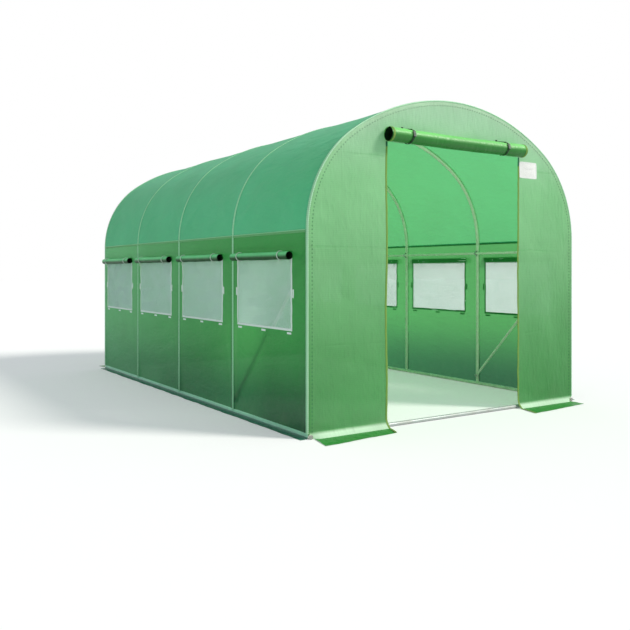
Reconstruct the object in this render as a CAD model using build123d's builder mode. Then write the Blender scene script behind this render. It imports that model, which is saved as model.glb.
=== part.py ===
from build123d import *

import os
from math import atan2, cos, degrees, hypot, pi, sin

# A walk-in polytunnel greenhouse: a bare tube frame of five hoops on base rails, under a
# sewn film cover with a roll-up door in the front end and four roll-up windows a side.
# Millimetres, +Z up, the door end towards -Y, the origin on the ground under the middle.

# Tunnel, over the cover
WIDTH = 2250
LENGTH = 3600
HEIGHT = 2000
SPRING_HEIGHT = 1155
CROWN_LIFT = 125
COVER = 2
BAYS = 4

# Frame tubes, across their flats: eight flats on the rails and braces, six on the hoops
TUBE = 25
TUBE_WALL = 1.2
SLIM_TUBE = 19
TUBE_SIDES = 8
HOOP_SIDES = 6
SEAT = 0.3
COLLAR = 24
COLLAR_TOP = 35
SPIGOT = 35
SOCKET = 45
RAIL_OVERHANG = 12
END_CAP = 3
END_CAP_PLUG = 10

# Long rails, with the saddles that bolt them to the hoops
SIDE_RAIL_DROP = 35
SADDLE = 2
SADDLE_WIDTH = 20
SADDLE_REACH = 22

# Braces in the end bays
BRACE_DROP = 35
BRACE_BOTTOM = 75
TONGUE = 3
TONGUE_WIDTH = 24
TONGUE_CORNER = 7
TONGUE_REACH = 36

# Door end
DOOR_WIDTH = 1130
DOOR_FASCIA = 300
FLARE = 18
FLARE_HEIGHT = 60
BINDING_WIDTH = 10
BINDING = 1
DOOR_ROLL_SIDES = 12
DOOR_ROLL_RADIUS = 42
DOOR_ROLL_LENGTH = 1180
DOOR_ROLL_RISE = 35
DOOR_ROLL_PITCH = 6
DOOR_ROLL_CLOTH = 4.5
DOOR_ROLL_TURNS = 3
STRAP = 2
STRAP_WIDTH = 20
STRAP_OFFSET = 405
END_BINDING = 1.5
END_BINDING_WIDTH = 14
LABEL_WIDTH = 170
LABEL_HEIGHT = 112
LABEL_DROP = 61
LABEL = 1

# Side windows
WINDOW_WIDTH = 650
WINDOW_HEIGHT = 402
WINDOW_SHIFT = 42
NET = 1
TAPE = 1.2
TAPE_WIDTH = 14
HEADER_WIDTH = 36
PATCH_WIDTH = 14
PATCH_LENGTH = 50
HEM_PATCH_LENGTH = 42
HEM_PATCH_HEIGHT = 12
PATCH_GAP = 4
WINDOW_ROLL_SIDES = 8
WINDOW_ROLL_DROP = 133
WINDOW_ROLL_RISE = 20
WINDOW_ROLL_RADIUS = 24
WINDOW_ROLL_LENGTH = 760
WINDOW_ROLL_PITCH = 4.5
WINDOW_ROLL_CLOTH = 3
WINDOW_ROLL_TURNS = 2
TIE = 3
TIE_OFFSET = 255

# Seams and the skirt that lies on the ground
WELT = 1.5
WELT_WIDTH = 16
WELT_FOOT = 30
SEAM_HEIGHT = 10
SIDE_SKIRT = 50
END_SKIRT = 190
SKIRT_INSET = 35
SKIRT_SPLAY = 40
SKIRT_TAPER = 50

HALF_WIDTH = WIDTH / 2
HALF_LENGTH = LENGTH / 2
HALF_DOOR = DOOR_WIDTH / 2
FRAME_INSET = COVER + SEAT + TUBE / 2
LEG_X = HALF_WIDTH - FRAME_INSET
END_HOOP_Y = HALF_LENGTH - COVER - SEAT - TUBE / 2 / cos(pi / HOOP_SIDES)
BAY = 2 * END_HOOP_Y / BAYS
HOOP_YS = [-END_HOOP_Y + BAY * i for i in range(BAYS + 1)]
BAY_YS = [-END_HOOP_Y + BAY * (i + 0.5) for i in range(BAYS)]
WINDOW_YS = [y + WINDOW_SHIFT for y in BAY_YS]
BORE = TUBE / 2 - TUBE_WALL
SPIGOT_RADIUS = BORE - SEAT
RUN_LENGTH = 2 * (HALF_LENGTH - COVER - SEAT)
WALL_LENGTH = 2 * (HALF_LENGTH - COVER)

# Heights that follow the springing of the arch
LEG_JOINT_HEIGHT = SPRING_HEIGHT - SOCKET
SIDE_RAIL_HEIGHT = LEG_JOINT_HEIGHT - SIDE_RAIL_DROP
BRACE_TOP = SIDE_RAIL_HEIGHT - BRACE_DROP
WINDOW_ROLL_HEIGHT = SPRING_HEIGHT - WINDOW_ROLL_DROP
WINDOW_TOP = WINDOW_ROLL_HEIGHT - WINDOW_ROLL_RISE
DOOR_HEAD = HEIGHT - DOOR_FASCIA
DOOR_ROLL_HEIGHT = DOOR_HEAD + DOOR_ROLL_RISE

# The arch has three centres: a shoulder arc on each side, and a flatter crown arc that is
# tangent to both and reaches the full height.
RISE = HEIGHT - SPRING_HEIGHT
SHOULDER_RADIUS = RISE - CROWN_LIFT
SHOULDER_X = HALF_WIDTH - SHOULDER_RADIUS
CROWN_RADIUS = (SHOULDER_X**2 + RISE**2 - SHOULDER_RADIUS**2) / (2 * CROWN_LIFT)
CROWN_TURN = degrees(atan2(SHOULDER_X, CROWN_RADIUS - RISE))
SHOULDER_TURN = 90 - CROWN_TURN

finished = {}


def finish(piece, name):
    """Labels a finished piece and keeps it for writing."""
    piece.part.label = name
    finished[name] = piece.part


def arch_arcs(inset):
    """The three tangent arcs of the arch, from the right spring to the left one."""
    right = CenterArc((SHOULDER_X, SPRING_HEIGHT), SHOULDER_RADIUS - inset, 0, SHOULDER_TURN)
    crown = CenterArc((0, HEIGHT - CROWN_RADIUS), CROWN_RADIUS - inset, SHOULDER_TURN, 2 * CROWN_TURN)
    left = CenterArc((-SHOULDER_X, SPRING_HEIGHT), SHOULDER_RADIUS - inset, 90 + CROWN_TURN, SHOULDER_TURN)
    return right @ 0, crown, left @ 1


def arch_band(inside, outside, foot):
    """A band that follows the arch, and the walls down to foot, between two insets."""
    with BuildSketch() as band:
        with BuildLine():
            outer_right, _, outer_left = arch_arcs(outside)
            inner_right, _, inner_left = arch_arcs(inside)
            for side, outer, inner in ((1, outer_right, inner_right), (-1, outer_left, inner_left)):
                if foot < SPRING_HEIGHT:
                    outer_x = side * (HALF_WIDTH - outside)
                    inner_x = side * (HALF_WIDTH - inside)
                    Polyline(outer, (outer_x, foot), (inner_x, foot), inner)
                else:
                    Line(outer, inner)
        make_face()
    return band.sketch


def end_wall():
    """The outline of an end wall, with a notch at each foot for the end of a side rail."""
    notch = HALF_WIDTH - LEG_X + TUBE / 2 + 1
    with BuildSketch() as wall:
        with BuildLine():
            right, _, left = arch_arcs(0)
            Polyline(right, (HALF_WIDTH, COVER), (-HALF_WIDTH, COVER), left)
        make_face()
        with Locations((HALF_WIDTH, 0), (-HALF_WIDTH, 0)):
            Rectangle(2 * notch, 2 * (TUBE + 2), mode=Mode.SUBTRACT)
    return wall.sketch


def flat_sided(centres, reach, sides, inner_reach=0):
    """Even-sided outlines with flats towards both axes, open inside from inner_reach."""
    with BuildSketch() as outline:
        with Locations(*centres):
            RegularPolygon(reach, sides, major_radius=False, rotation=180 / sides)
            if inner_reach:
                RegularPolygon(
                    inner_reach, sides, major_radius=False, rotation=180 / sides, mode=Mode.SUBTRACT
                )
    return outline.sketch


def rolled_section(across, up, radius, pitch, cloth, turns, sides):
    """The end view of a rolled flap: a spiral that loses one pitch of radius in a turn."""
    outside = []
    inside = []
    for step in range(turns * sides + 1):
        angle = 2 * pi * step / sides
        reach = radius - pitch * step / sides
        outside.append((across + reach * cos(angle), up + reach * sin(angle)))
        inside.append((across + (reach - cloth) * cos(angle), up + (reach - cloth) * sin(angle)))
    with BuildSketch() as section:
        with BuildLine():
            Polyline(*outside, *reversed(inside), close=True)
        make_face()
    return section.sketch


def saddled_rail(across, up, turn):
    """A long slim rail with a saddle at each hoop, turned so that its flanges lie on the hoop."""
    with BuildPart() as rail:
        with BuildSketch(Plane.XZ.offset(RUN_LENGTH / 2)):
            add(flat_sided([(across, up)], SLIM_TUBE / 2, TUBE_SIDES))
        extrude(amount=-RUN_LENGTH)
        for hoop_y in HOOP_YS:
            with BuildSketch(Plane.XZ.offset(SADDLE_WIDTH / 2 - hoop_y)):
                with Locations(Location((across, up, 0), (0, 0, turn))):
                    add(saddle_section())
            extrude(amount=-SADDLE_WIDTH)
        with BuildSketch(Plane.XZ.offset(RUN_LENGTH / 2)):
            add(flat_sided([(across, up)], SLIM_TUBE / 2 - TUBE_WALL, TUBE_SIDES))
        extrude(amount=-RUN_LENGTH, mode=Mode.SUBTRACT)
    return rail


def saddle_section():
    """A block under a slim rail, and a flange on both sides just below the rail's top."""
    wrap = SLIM_TUBE / 2 + SADDLE
    flange_middle = SLIM_TUBE / 2 - SADDLE
    with BuildSketch() as section:
        with Locations((0, (flange_middle - wrap) / 2)):
            Rectangle(2 * wrap, flange_middle + wrap)
        with Locations((0, flange_middle)):
            Rectangle(2 * SADDLE_REACH, SADDLE)
    return section.sketch


# Base rails. Each side rail carries a collar and a spigot for every leg.
side_rail_length = LENGTH + 2 * RAIL_OVERHANG
leg_feet = [(-LEG_X, y) for y in HOOP_YS]
left_rail_axis = [(-LEG_X, TUBE / 2)]
with BuildPart() as base_rail_left:
    with BuildSketch(Plane.XZ.offset(side_rail_length / 2)):
        add(flat_sided(left_rail_axis, TUBE / 2, TUBE_SIDES))
    extrude(amount=-side_rail_length)
    with BuildSketch(Plane.XY.offset(TUBE / 2)):
        add(flat_sided(leg_feet, COLLAR / 2, HOOP_SIDES))
    extrude(amount=COLLAR_TOP - TUBE / 2)
    with BuildSketch(Plane.XY.offset(TUBE / 2)):
        add(flat_sided(leg_feet, SPIGOT_RADIUS, HOOP_SIDES))
    extrude(amount=COLLAR_TOP + SPIGOT - TUBE / 2)
    with BuildSketch(Plane.XZ.offset(side_rail_length / 2)):
        add(flat_sided(left_rail_axis, BORE, TUBE_SIDES))
    extrude(amount=-side_rail_length, mode=Mode.SUBTRACT)
finish(base_rail_left, "base_rail_left")

cross_rail_length = 2 * (LEG_X - TUBE / 2 - SEAT)
with BuildPart() as base_rail_front:
    with BuildSketch(Plane.YZ.offset(-cross_rail_length / 2)):
        add(flat_sided([(-END_HOOP_Y, TUBE / 2)], TUBE / 2, TUBE_SIDES, BORE))
    extrude(amount=cross_rail_length)
finish(base_rail_front, "base_rail_front")

with BuildPart() as base_rail_back:
    mirror(base_rail_front.part, about=Plane.XZ)
finish(base_rail_back, "base_rail_back")

# A plug closes each end of the side rails, and its flange shows at the corner of the cover.
rail_axes = [(-LEG_X, TUBE / 2), (LEG_X, TUBE / 2)]
with BuildPart() as rail_end_caps:
    with BuildSketch(Plane.XZ.offset(side_rail_length / 2)):
        add(flat_sided(rail_axes, TUBE / 2, TUBE_SIDES))
    extrude(amount=END_CAP)
    with BuildSketch(Plane.XZ.offset(side_rail_length / 2)):
        add(flat_sided(rail_axes, SPIGOT_RADIUS, TUBE_SIDES))
    extrude(amount=-END_CAP_PLUG)
    mirror(about=Plane.XZ)
finish(rail_end_caps, "rail_end_caps")

# Legs: straight tubes that drop over the spigots of the rail and end in a swaged spigot.
leg_foot = COLLAR_TOP + SEAT
with BuildPart() as legs_left:
    with BuildSketch(Plane.XY.offset(leg_foot)):
        add(flat_sided(leg_feet, TUBE / 2, HOOP_SIDES))
    extrude(amount=LEG_JOINT_HEIGHT - leg_foot)
    with BuildSketch(Plane.XY.offset(LEG_JOINT_HEIGHT)):
        add(flat_sided(leg_feet, SPIGOT_RADIUS, HOOP_SIDES))
    extrude(amount=SPIGOT)
    with BuildSketch(Plane.XY.offset(leg_foot)):
        add(flat_sided(leg_feet, BORE, HOOP_SIDES))
    extrude(amount=LEG_JOINT_HEIGHT - leg_foot - SPIGOT, mode=Mode.SUBTRACT)
finish(legs_left, "legs_left")

# Hoop arches: one bent tube each, with a straight socket at both ends for the legs.
arch_foot = LEG_JOINT_HEIGHT + SEAT
for number, hoop_y in enumerate(HOOP_YS, 1):
    with BuildPart() as hoop_arch:
        with BuildLine(Plane.XZ.offset(-hoop_y)) as bend:
            arc_right, _, arc_left = arch_arcs(FRAME_INSET)
            Line((LEG_X, arch_foot), (LEG_X, SPRING_HEIGHT))
            Line((-LEG_X, SPRING_HEIGHT), (-LEG_X, arch_foot))
        with BuildSketch(Plane.XY.offset(arch_foot)):
            add(flat_sided([(LEG_X, hoop_y)], TUBE / 2, HOOP_SIDES))
        sweep(path=bend.wires()[0])
        with BuildSketch(Plane.XY.offset(arch_foot)):
            add(flat_sided([(LEG_X, hoop_y), (-LEG_X, hoop_y)], BORE, HOOP_SIDES))
        extrude(amount=SPIGOT + 1, mode=Mode.SUBTRACT)
    finish(hoop_arch, f"hoop_arch_{number}")

# Long rails inside the hoops: one at each side, opening outwards, and one under the ridge
side_rail_x = LEG_X - TUBE / 2 - SEAT - SLIM_TUBE / 2
side_rail_left = saddled_rail(-side_rail_x, SIDE_RAIL_HEIGHT, 90)
finish(side_rail_left, "side_rail_left")

ridge_height = HEIGHT - FRAME_INSET - TUBE / 2 - SEAT - SLIM_TUBE / 2
ridge_rail = saddled_rail(0, ridge_height, 0)
finish(ridge_rail, "ridge_rail")

# Braces: a slim tube with flattened ends, bolted to the end hoop and the foot of the next.
brace_run = hypot(BAY, BRACE_TOP - BRACE_BOTTOM)
brace_x = LEG_X - TUBE / 2 - SEAT - TONGUE / 2
brace_plane = Plane(
    origin=(-brace_x, -END_HOOP_Y, BRACE_TOP),
    x_dir=(0, BAY, BRACE_BOTTOM - BRACE_TOP),
    z_dir=(1, 0, 0),
)
with BuildPart() as braces_left:
    with BuildSketch(brace_plane):
        with Locations((brace_run / 2, 0)):
            flat = Rectangle(brace_run + TONGUE_WIDTH, TONGUE_WIDTH)
            chamfer(flat.vertices(), TONGUE_CORNER)
            Rectangle(brace_run - 2 * (TONGUE_REACH + 1), TONGUE_WIDTH, mode=Mode.SUBTRACT)
    extrude(amount=TONGUE / 2, both=True)
    tube_start = brace_plane.from_local_coords(Vector(TONGUE_REACH, 0, 0))
    with BuildSketch(Plane(origin=tube_start, x_dir=brace_plane.z_dir, z_dir=brace_plane.x_dir)):
        add(flat_sided([(0, 0)], SLIM_TUBE / 2, TUBE_SIDES))
    extrude(amount=brace_run - 2 * TONGUE_REACH)
    mirror(about=Plane.XZ)
finish(braces_left, "braces_left")

# Side wall of the cover, with its windows, and what is sewn round each of them
window_middle = WINDOW_TOP - WINDOW_HEIGHT / 2
window_places = [(y, window_middle) for y in WINDOW_YS]
left_wall = Plane.YZ.offset(-HALF_WIDTH)
with BuildPart() as cover_side_left:
    with BuildSketch(left_wall):
        with Locations((0, (SPRING_HEIGHT + COVER) / 2)):
            Rectangle(WALL_LENGTH, SPRING_HEIGHT - COVER)
        with Locations(*window_places):
            Rectangle(WINDOW_WIDTH, WINDOW_HEIGHT, mode=Mode.SUBTRACT)
    extrude(amount=COVER)
finish(cover_side_left, "cover_side_left")

with BuildPart() as window_nets_left:
    with BuildSketch(left_wall.offset((COVER - NET) / 2)):
        with Locations(*window_places):
            Rectangle(WINDOW_WIDTH, WINDOW_HEIGHT)
    extrude(amount=NET)
finish(window_nets_left, "window_nets_left")

frame_height = WINDOW_HEIGHT + TAPE_WIDTH + HEADER_WIDTH
frame_middle = window_middle + (HEADER_WIDTH - TAPE_WIDTH) / 2
with BuildPart() as window_tapes_left:
    with BuildSketch(left_wall):
        with Locations(*[(y, frame_middle) for y in WINDOW_YS]):
            Rectangle(WINDOW_WIDTH + 2 * TAPE_WIDTH, frame_height)
        with Locations(*window_places):
            Rectangle(WINDOW_WIDTH, WINDOW_HEIGHT, mode=Mode.SUBTRACT)
    extrude(amount=-TAPE)
finish(window_tapes_left, "window_tapes_left")

patch_reach = WINDOW_WIDTH / 2 + TAPE_WIDTH + PATCH_GAP + PATCH_WIDTH / 2
hem_reach = (WINDOW_WIDTH - HEM_PATCH_LENGTH) / 2
window_bottom = WINDOW_TOP - WINDOW_HEIGHT
hem_patch_height = window_bottom - TAPE_WIDTH - PATCH_GAP - HEM_PATCH_HEIGHT / 2
with BuildPart() as window_patches_left:
    with BuildSketch(left_wall):
        for window_y in WINDOW_YS:
            with Locations((window_y - patch_reach, window_middle), (window_y + patch_reach, window_middle)):
                Rectangle(PATCH_WIDTH, PATCH_LENGTH)
            for reach in (-hem_reach, 0, hem_reach):
                with Locations((window_y + reach, hem_patch_height)):
                    Rectangle(HEM_PATCH_LENGTH, HEM_PATCH_HEIGHT)
    extrude(amount=-TAPE)
finish(window_patches_left, "window_patches_left")

window_roll_x = -(HALF_WIDTH + TAPE + SEAT + TIE + SEAT + WINDOW_ROLL_RADIUS)
window_roll_section = rolled_section(
    window_roll_x,
    WINDOW_ROLL_HEIGHT,
    WINDOW_ROLL_RADIUS,
    WINDOW_ROLL_PITCH,
    WINDOW_ROLL_CLOTH,
    WINDOW_ROLL_TURNS,
    WINDOW_ROLL_SIDES,
)
with BuildPart() as window_rolls_left:
    for window_y in WINDOW_YS:
        with BuildSketch(Plane.XZ.offset(WINDOW_ROLL_LENGTH / 2 - window_y)):
            add(window_roll_section)
        extrude(amount=-WINDOW_ROLL_LENGTH)
finish(window_rolls_left, "window_rolls_left")

tie_reach = WINDOW_ROLL_RADIUS + SEAT
window_roll_axis = [(window_roll_x, WINDOW_ROLL_HEIGHT)]
tie_section = flat_sided(window_roll_axis, tie_reach + TIE, WINDOW_ROLL_SIDES, tie_reach)
with BuildPart() as window_ties_left:
    for window_y in WINDOW_YS:
        for tie_y in (window_y - TIE_OFFSET, window_y + TIE_OFFSET):
            with BuildSketch(Plane.XZ.offset(TIE / 2 - tie_y)):
                add(tie_section)
            extrude(amount=-TIE)
finish(window_ties_left, "window_ties_left")

# Roof of the cover, sewn to the side walls at the shoulder
with BuildPart() as cover_roof:
    with BuildSketch(Plane.XZ.offset(WALL_LENGTH / 2)):
        add(arch_band(COVER, 0, SPRING_HEIGHT))
    extrude(amount=-WALL_LENGTH)
finish(cover_roof, "cover_roof")

# End walls. The front one stands beside and over the doorway, where its foot flares out
# over the rail, and the back one is whole.
front_face = Plane.XZ.offset(HALF_LENGTH)
beside_door = (HALF_WIDTH + HALF_DOOR) / 2
flare_top = (-HALF_DOOR, COVER + FLARE_HEIGHT)
flare_toe = (-HALF_DOOR + FLARE, COVER)
with BuildPart() as cover_front_left:
    with BuildSketch(front_face):
        with BuildLine():
            TangentArc(flare_top, flare_toe, tangent=(0, -1))
            Polyline(flare_toe, (-HALF_DOOR, COVER), flare_top)
        make_face()
        with Locations((-beside_door, HEIGHT / 2)):
            Rectangle(HALF_WIDTH - HALF_DOOR, HEIGHT)
        add(end_wall(), mode=Mode.INTERSECT)
    extrude(amount=-COVER)
finish(cover_front_left, "cover_front_left")

with BuildPart() as cover_front_right:
    mirror(cover_front_left.part, about=Plane.YZ)
finish(cover_front_right, "cover_front_right")

with BuildPart() as cover_front_top:
    with BuildSketch(front_face):
        add(end_wall())
        with Locations((0, (HEIGHT + DOOR_HEAD) / 2)):
            Rectangle(DOOR_WIDTH, HEIGHT - DOOR_HEAD, mode=Mode.INTERSECT)
    extrude(amount=-COVER)
finish(cover_front_top, "cover_front_top")

with BuildPart() as cover_back:
    with BuildSketch(Plane.XZ.offset(-HALF_LENGTH)):
        add(end_wall())
    extrude(amount=COVER)
finish(cover_back, "cover_back")

# Welts that join the tunnel to its end walls, and the shoulder seam bay by bay
with BuildPart() as hoop_welts:
    for hoop_y in (-END_HOOP_Y, END_HOOP_Y):
        with BuildSketch(Plane.XZ.offset(WELT_WIDTH / 2 - hoop_y)):
            add(arch_band(0, -WELT, WELT_FOOT))
        extrude(amount=-WELT_WIDTH)
finish(hoop_welts, "hoop_welts")

with BuildPart() as shoulder_seams:
    with BuildSketch(left_wall):
        with Locations(*[(y, SPRING_HEIGHT - SEAM_HEIGHT / 2) for y in BAY_YS]):
            Rectangle(BAY - WELT_WIDTH, SEAM_HEIGHT)
    extrude(amount=-WELT)
    mirror(about=Plane.YZ)
finish(shoulder_seams, "shoulder_seams")

# The door flap, rolled up over the doorway, with its bound ends and the two straps
door_roll_y = -(HALF_LENGTH + SEAT + STRAP + SEAT + DOOR_ROLL_RADIUS)
door_roll_section = rolled_section(
    door_roll_y,
    DOOR_ROLL_HEIGHT,
    DOOR_ROLL_RADIUS,
    DOOR_ROLL_PITCH,
    DOOR_ROLL_CLOTH,
    DOOR_ROLL_TURNS,
    DOOR_ROLL_SIDES,
)
with BuildPart() as door_roll:
    with BuildSketch(Plane.YZ.offset(-DOOR_ROLL_LENGTH / 2)):
        add(door_roll_section)
    extrude(amount=DOOR_ROLL_LENGTH)
finish(door_roll, "door_roll")

wrap_radius = DOOR_ROLL_RADIUS + SEAT
door_roll_axis = [(door_roll_y, DOOR_ROLL_HEIGHT)]
with BuildPart() as door_straps:
    for strap_x in (-STRAP_OFFSET, STRAP_OFFSET):
        with BuildSketch(Plane.YZ.offset(strap_x - STRAP_WIDTH / 2)):
            add(flat_sided(door_roll_axis, wrap_radius + STRAP, DOOR_ROLL_SIDES, wrap_radius))
        extrude(amount=STRAP_WIDTH)
finish(door_straps, "door_straps")

# Bound edges: the two ends of the rolled flap and the two jambs, down round the flare
binding_top = (-HALF_DOOR, DOOR_HEAD)
binding_out = (-HALF_DOOR - BINDING_WIDTH, DOOR_HEAD)
binding_turn = (-HALF_DOOR - BINDING_WIDTH, COVER + FLARE_HEIGHT)
binding_toe = (-HALF_DOOR + FLARE - BINDING_WIDTH, COVER)
with BuildPart() as door_bindings:
    with BuildSketch(Plane.YZ.offset(-DOOR_ROLL_LENGTH / 2)):
        add(flat_sided(door_roll_axis, wrap_radius + END_BINDING, DOOR_ROLL_SIDES, wrap_radius))
    extrude(amount=END_BINDING_WIDTH)
    with BuildSketch(front_face):
        with BuildLine():
            Polyline(flare_top, binding_top, binding_out, binding_turn)
            TangentArc(binding_turn, binding_toe, tangent=(0, -1))
            Line(binding_toe, flare_toe)
            TangentArc(flare_top, flare_toe, tangent=(0, -1))
        make_face()
    extrude(amount=BINDING)
    mirror(about=Plane.YZ)
finish(door_bindings, "door_bindings")

with BuildPart() as blank_label:
    with BuildSketch(front_face):
        label_x = HALF_DOOR + BINDING_WIDTH + 2 + LABEL_WIDTH / 2
        with Locations((label_x, DOOR_ROLL_HEIGHT - LABEL_DROP - LABEL_HEIGHT / 2)):
            Rectangle(LABEL_WIDTH, LABEL_HEIGHT)
    extrude(amount=LABEL)
finish(blank_label, "blank_label")

# Skirts: the free hem of the cover, flat on the ground
skirt_root = HALF_WIDTH - SKIRT_INSET
skirt_edge = HALF_LENGTH + END_SKIRT
with BuildPart() as skirt_left:
    with BuildSketch():
        with Locations((-(HALF_WIDTH - COVER + SIDE_SKIRT / 2), 0)):
            Rectangle(SIDE_SKIRT, WALL_LENGTH)
    extrude(amount=COVER)
finish(skirt_left, "skirt_left")

with BuildPart() as skirt_front_left:
    with BuildSketch():
        with BuildLine():
            Polyline(
                (-skirt_root, COVER - HALF_LENGTH),
                (-skirt_root - SKIRT_SPLAY, -skirt_edge),
                (-HALF_DOOR - SKIRT_SPLAY, -skirt_edge + SKIRT_TAPER),
                (-HALF_DOOR, COVER - HALF_LENGTH),
                close=True,
            )
        make_face()
    extrude(amount=COVER)
finish(skirt_front_left, "skirt_front_left")

with BuildPart() as skirt_front_right:
    with BuildSketch():
        with BuildLine():
            Polyline(
                (skirt_root, COVER - HALF_LENGTH),
                (skirt_root, -skirt_edge + SKIRT_TAPER),
                (HALF_DOOR - SKIRT_SPLAY, -skirt_edge),
                (HALF_DOOR, COVER - HALF_LENGTH),
                close=True,
            )
        make_face()
    extrude(amount=COVER)
finish(skirt_front_right, "skirt_front_right")

with BuildPart() as skirt_back:
    with BuildSketch():
        with BuildLine():
            Polyline(
                (skirt_root, HALF_LENGTH - COVER),
                (skirt_root + SKIRT_SPLAY, skirt_edge),
                (-skirt_root - SKIRT_SPLAY, skirt_edge),
                (-skirt_root, HALF_LENGTH - COVER),
                close=True,
            )
        make_face()
    extrude(amount=COVER)
finish(skirt_back, "skirt_back")

# The right side mirrors the left one.
MIRRORED = (
    "base_rail",
    "legs",
    "side_rail",
    "braces",
    "cover_side",
    "window_nets",
    "window_tapes",
    "window_patches",
    "window_rolls",
    "window_ties",
    "skirt",
)
for kind in MIRRORED:
    with BuildPart() as right_hand:
        mirror(finished[f"{kind}_left"], about=Plane.YZ)
    finish(right_hand, f"{kind}_right")

os.makedirs("parts", exist_ok=True)
for name, part in finished.items():
    export_step(part, f"parts/{name}.step")
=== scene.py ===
"""A walk-in polytunnel greenhouse: a round steel frame under a green woven film cover, with
eight netted windows, a rolled door flap and skirts that lie on the ground."""

import math

import bpy
import bmesh
import numpy as np
from bpy.props import FloatProperty, FloatVectorProperty, IntProperty, PointerProperty
from bpy.types import Operator, Panel, PropertyGroup
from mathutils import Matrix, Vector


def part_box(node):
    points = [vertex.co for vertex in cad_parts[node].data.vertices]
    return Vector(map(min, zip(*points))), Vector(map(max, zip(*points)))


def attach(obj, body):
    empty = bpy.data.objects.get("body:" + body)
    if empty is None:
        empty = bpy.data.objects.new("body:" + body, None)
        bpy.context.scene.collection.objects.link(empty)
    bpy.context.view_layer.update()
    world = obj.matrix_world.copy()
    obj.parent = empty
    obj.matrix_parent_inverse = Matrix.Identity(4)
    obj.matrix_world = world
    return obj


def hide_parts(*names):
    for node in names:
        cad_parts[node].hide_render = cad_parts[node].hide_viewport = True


bl_info = {
    "name": "Polytunnel Greenhouse",
    "version": (1, 0, 0),
    "blender": (4, 5, 0),
    "location": "View3D > Sidebar > Greenhouse",
    "description": "Dresses the greenhouse frame with its tubes, film, windows, flaps and skirts",
    "category": "Object",
}

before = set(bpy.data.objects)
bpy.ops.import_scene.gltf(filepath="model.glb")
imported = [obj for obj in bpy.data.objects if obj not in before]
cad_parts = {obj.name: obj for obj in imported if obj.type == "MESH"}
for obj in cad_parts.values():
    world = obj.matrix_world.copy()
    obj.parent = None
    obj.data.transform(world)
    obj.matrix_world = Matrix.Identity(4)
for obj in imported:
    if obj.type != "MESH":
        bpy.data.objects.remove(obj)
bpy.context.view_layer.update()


def srgb(red, green, blue):
    """A screen colour, 0 to 255 a channel, as linear values."""
    value = np.array((red, green, blue)) / 255
    linear = np.where(value <= 0.04045, value / 12.92, ((value + 0.055) / 1.055) ** 2.4)
    return tuple(float(channel) for channel in linear)


def middle_of(node, axis):
    low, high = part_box(node)
    return (low[axis] + high[axis]) / 2


SIDES = ((-1, "left"), (1, "right"))
HOOP_YS = [middle_of(f"hoop_arch_{number}", 1) for number in range(1, 6)]
SIDE_LOW, SIDE_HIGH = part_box("cover_side_left")
NET_LOW, NET_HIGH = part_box("window_nets_left")
DOOR_LOW, DOOR_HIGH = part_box("cover_front_top")
ROLL_LOW, ROLL_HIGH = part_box("door_roll")
FLAP_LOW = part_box("window_rolls_left")[0]
WINDOW_SHIFT = (NET_LOW.y + NET_HIGH.y) / 2
WINDOW_YS = [(a + b) / 2 + WINDOW_SHIFT for a, b in zip(HOOP_YS, HOOP_YS[1:])]
WINDOW_WIDTH = 2 * (WINDOW_YS[0] - NET_LOW.y)
FLAP_SHORTER = 0.05
FLAP_LENGTH = 2 * (WINDOW_YS[0] - FLAP_LOW.y) - FLAP_SHORTER
DOOR_AXIS = middle_of("door_straps", 2)
DOOR_AXIS_Y = middle_of("door_straps", 1)
FLAP_AXIS = middle_of("window_ties_left", 2)
TIE_HALF = 0.0015
TIE_REACH = WINDOW_YS[0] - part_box("window_ties_left")[0].y - TIE_HALF


def metres(name, description, value):
    return FloatProperty(name=name, description=description, default=value, unit="LENGTH")


def colour(name, description, value):
    return FloatVectorProperty(
        name=name, description=description, subtype="COLOR", size=3, min=0, max=1, default=value
    )


class TunnelSizes(PropertyGroup):
    """The frame and the cover that is stretched over it."""

    width: metres("Width", "Over the film", -2 * SIDE_LOW.x)
    length: metres("Length", "Between the two end walls", 3.6)
    height: metres("Height", "Floor to the top of the film", 2.0)
    spring: metres("Spring height", "Where the straight wall turns into the arch", SIDE_HIGH.z)
    shoulder: metres("Shoulder radius", "Arc of each shoulder", 0.72)
    tube: metres("Tube", "Diameter of hoops and rails", 0.025)
    slim_tube: metres("Slim tube", "Diameter of braces", 0.019)
    edge: metres("Edge radius", "How round the film turns over the end hoops", 0.011)
    roof_sag: metres("Roof sag", "Dip of the roof between hoops", 0.005)
    wall_sag: metres("Wall sag", "Dip of the walls between hoops", 0.006)
    foot: metres("Foot", "How far the end walls' foot runs out", 0.036)
    skirt: metres("Skirt", "Width of the side skirts", 0.05)


class WindowSizes(PropertyGroup):
    """The netted windows and the flaps rolled up over them."""

    width: metres("Width", "Of the opening", WINDOW_WIDTH)
    bottom: metres("Bottom", "Height of the sill", NET_LOW.z)
    top: metres("Top", "Height of the head", NET_HIGH.z)
    net_pitch: metres("Net pitch", "From thread to thread", 0.0018)
    net_thread: metres("Net thread", "Thickness of a thread", 0.00046)
    tape: metres("Tape", "Width of the white tape", 0.014)
    roll_radius: metres("Roll radius", "Of the rolled flap", 0.024)
    roll_length: metres("Roll length", "Of the rolled flap", FLAP_LENGTH)
    turns: IntProperty(name="Turns", description="Of the rolled flap", default=5)
    tie_reach: metres("Tie reach", "From the middle to each tie", TIE_REACH)


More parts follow.
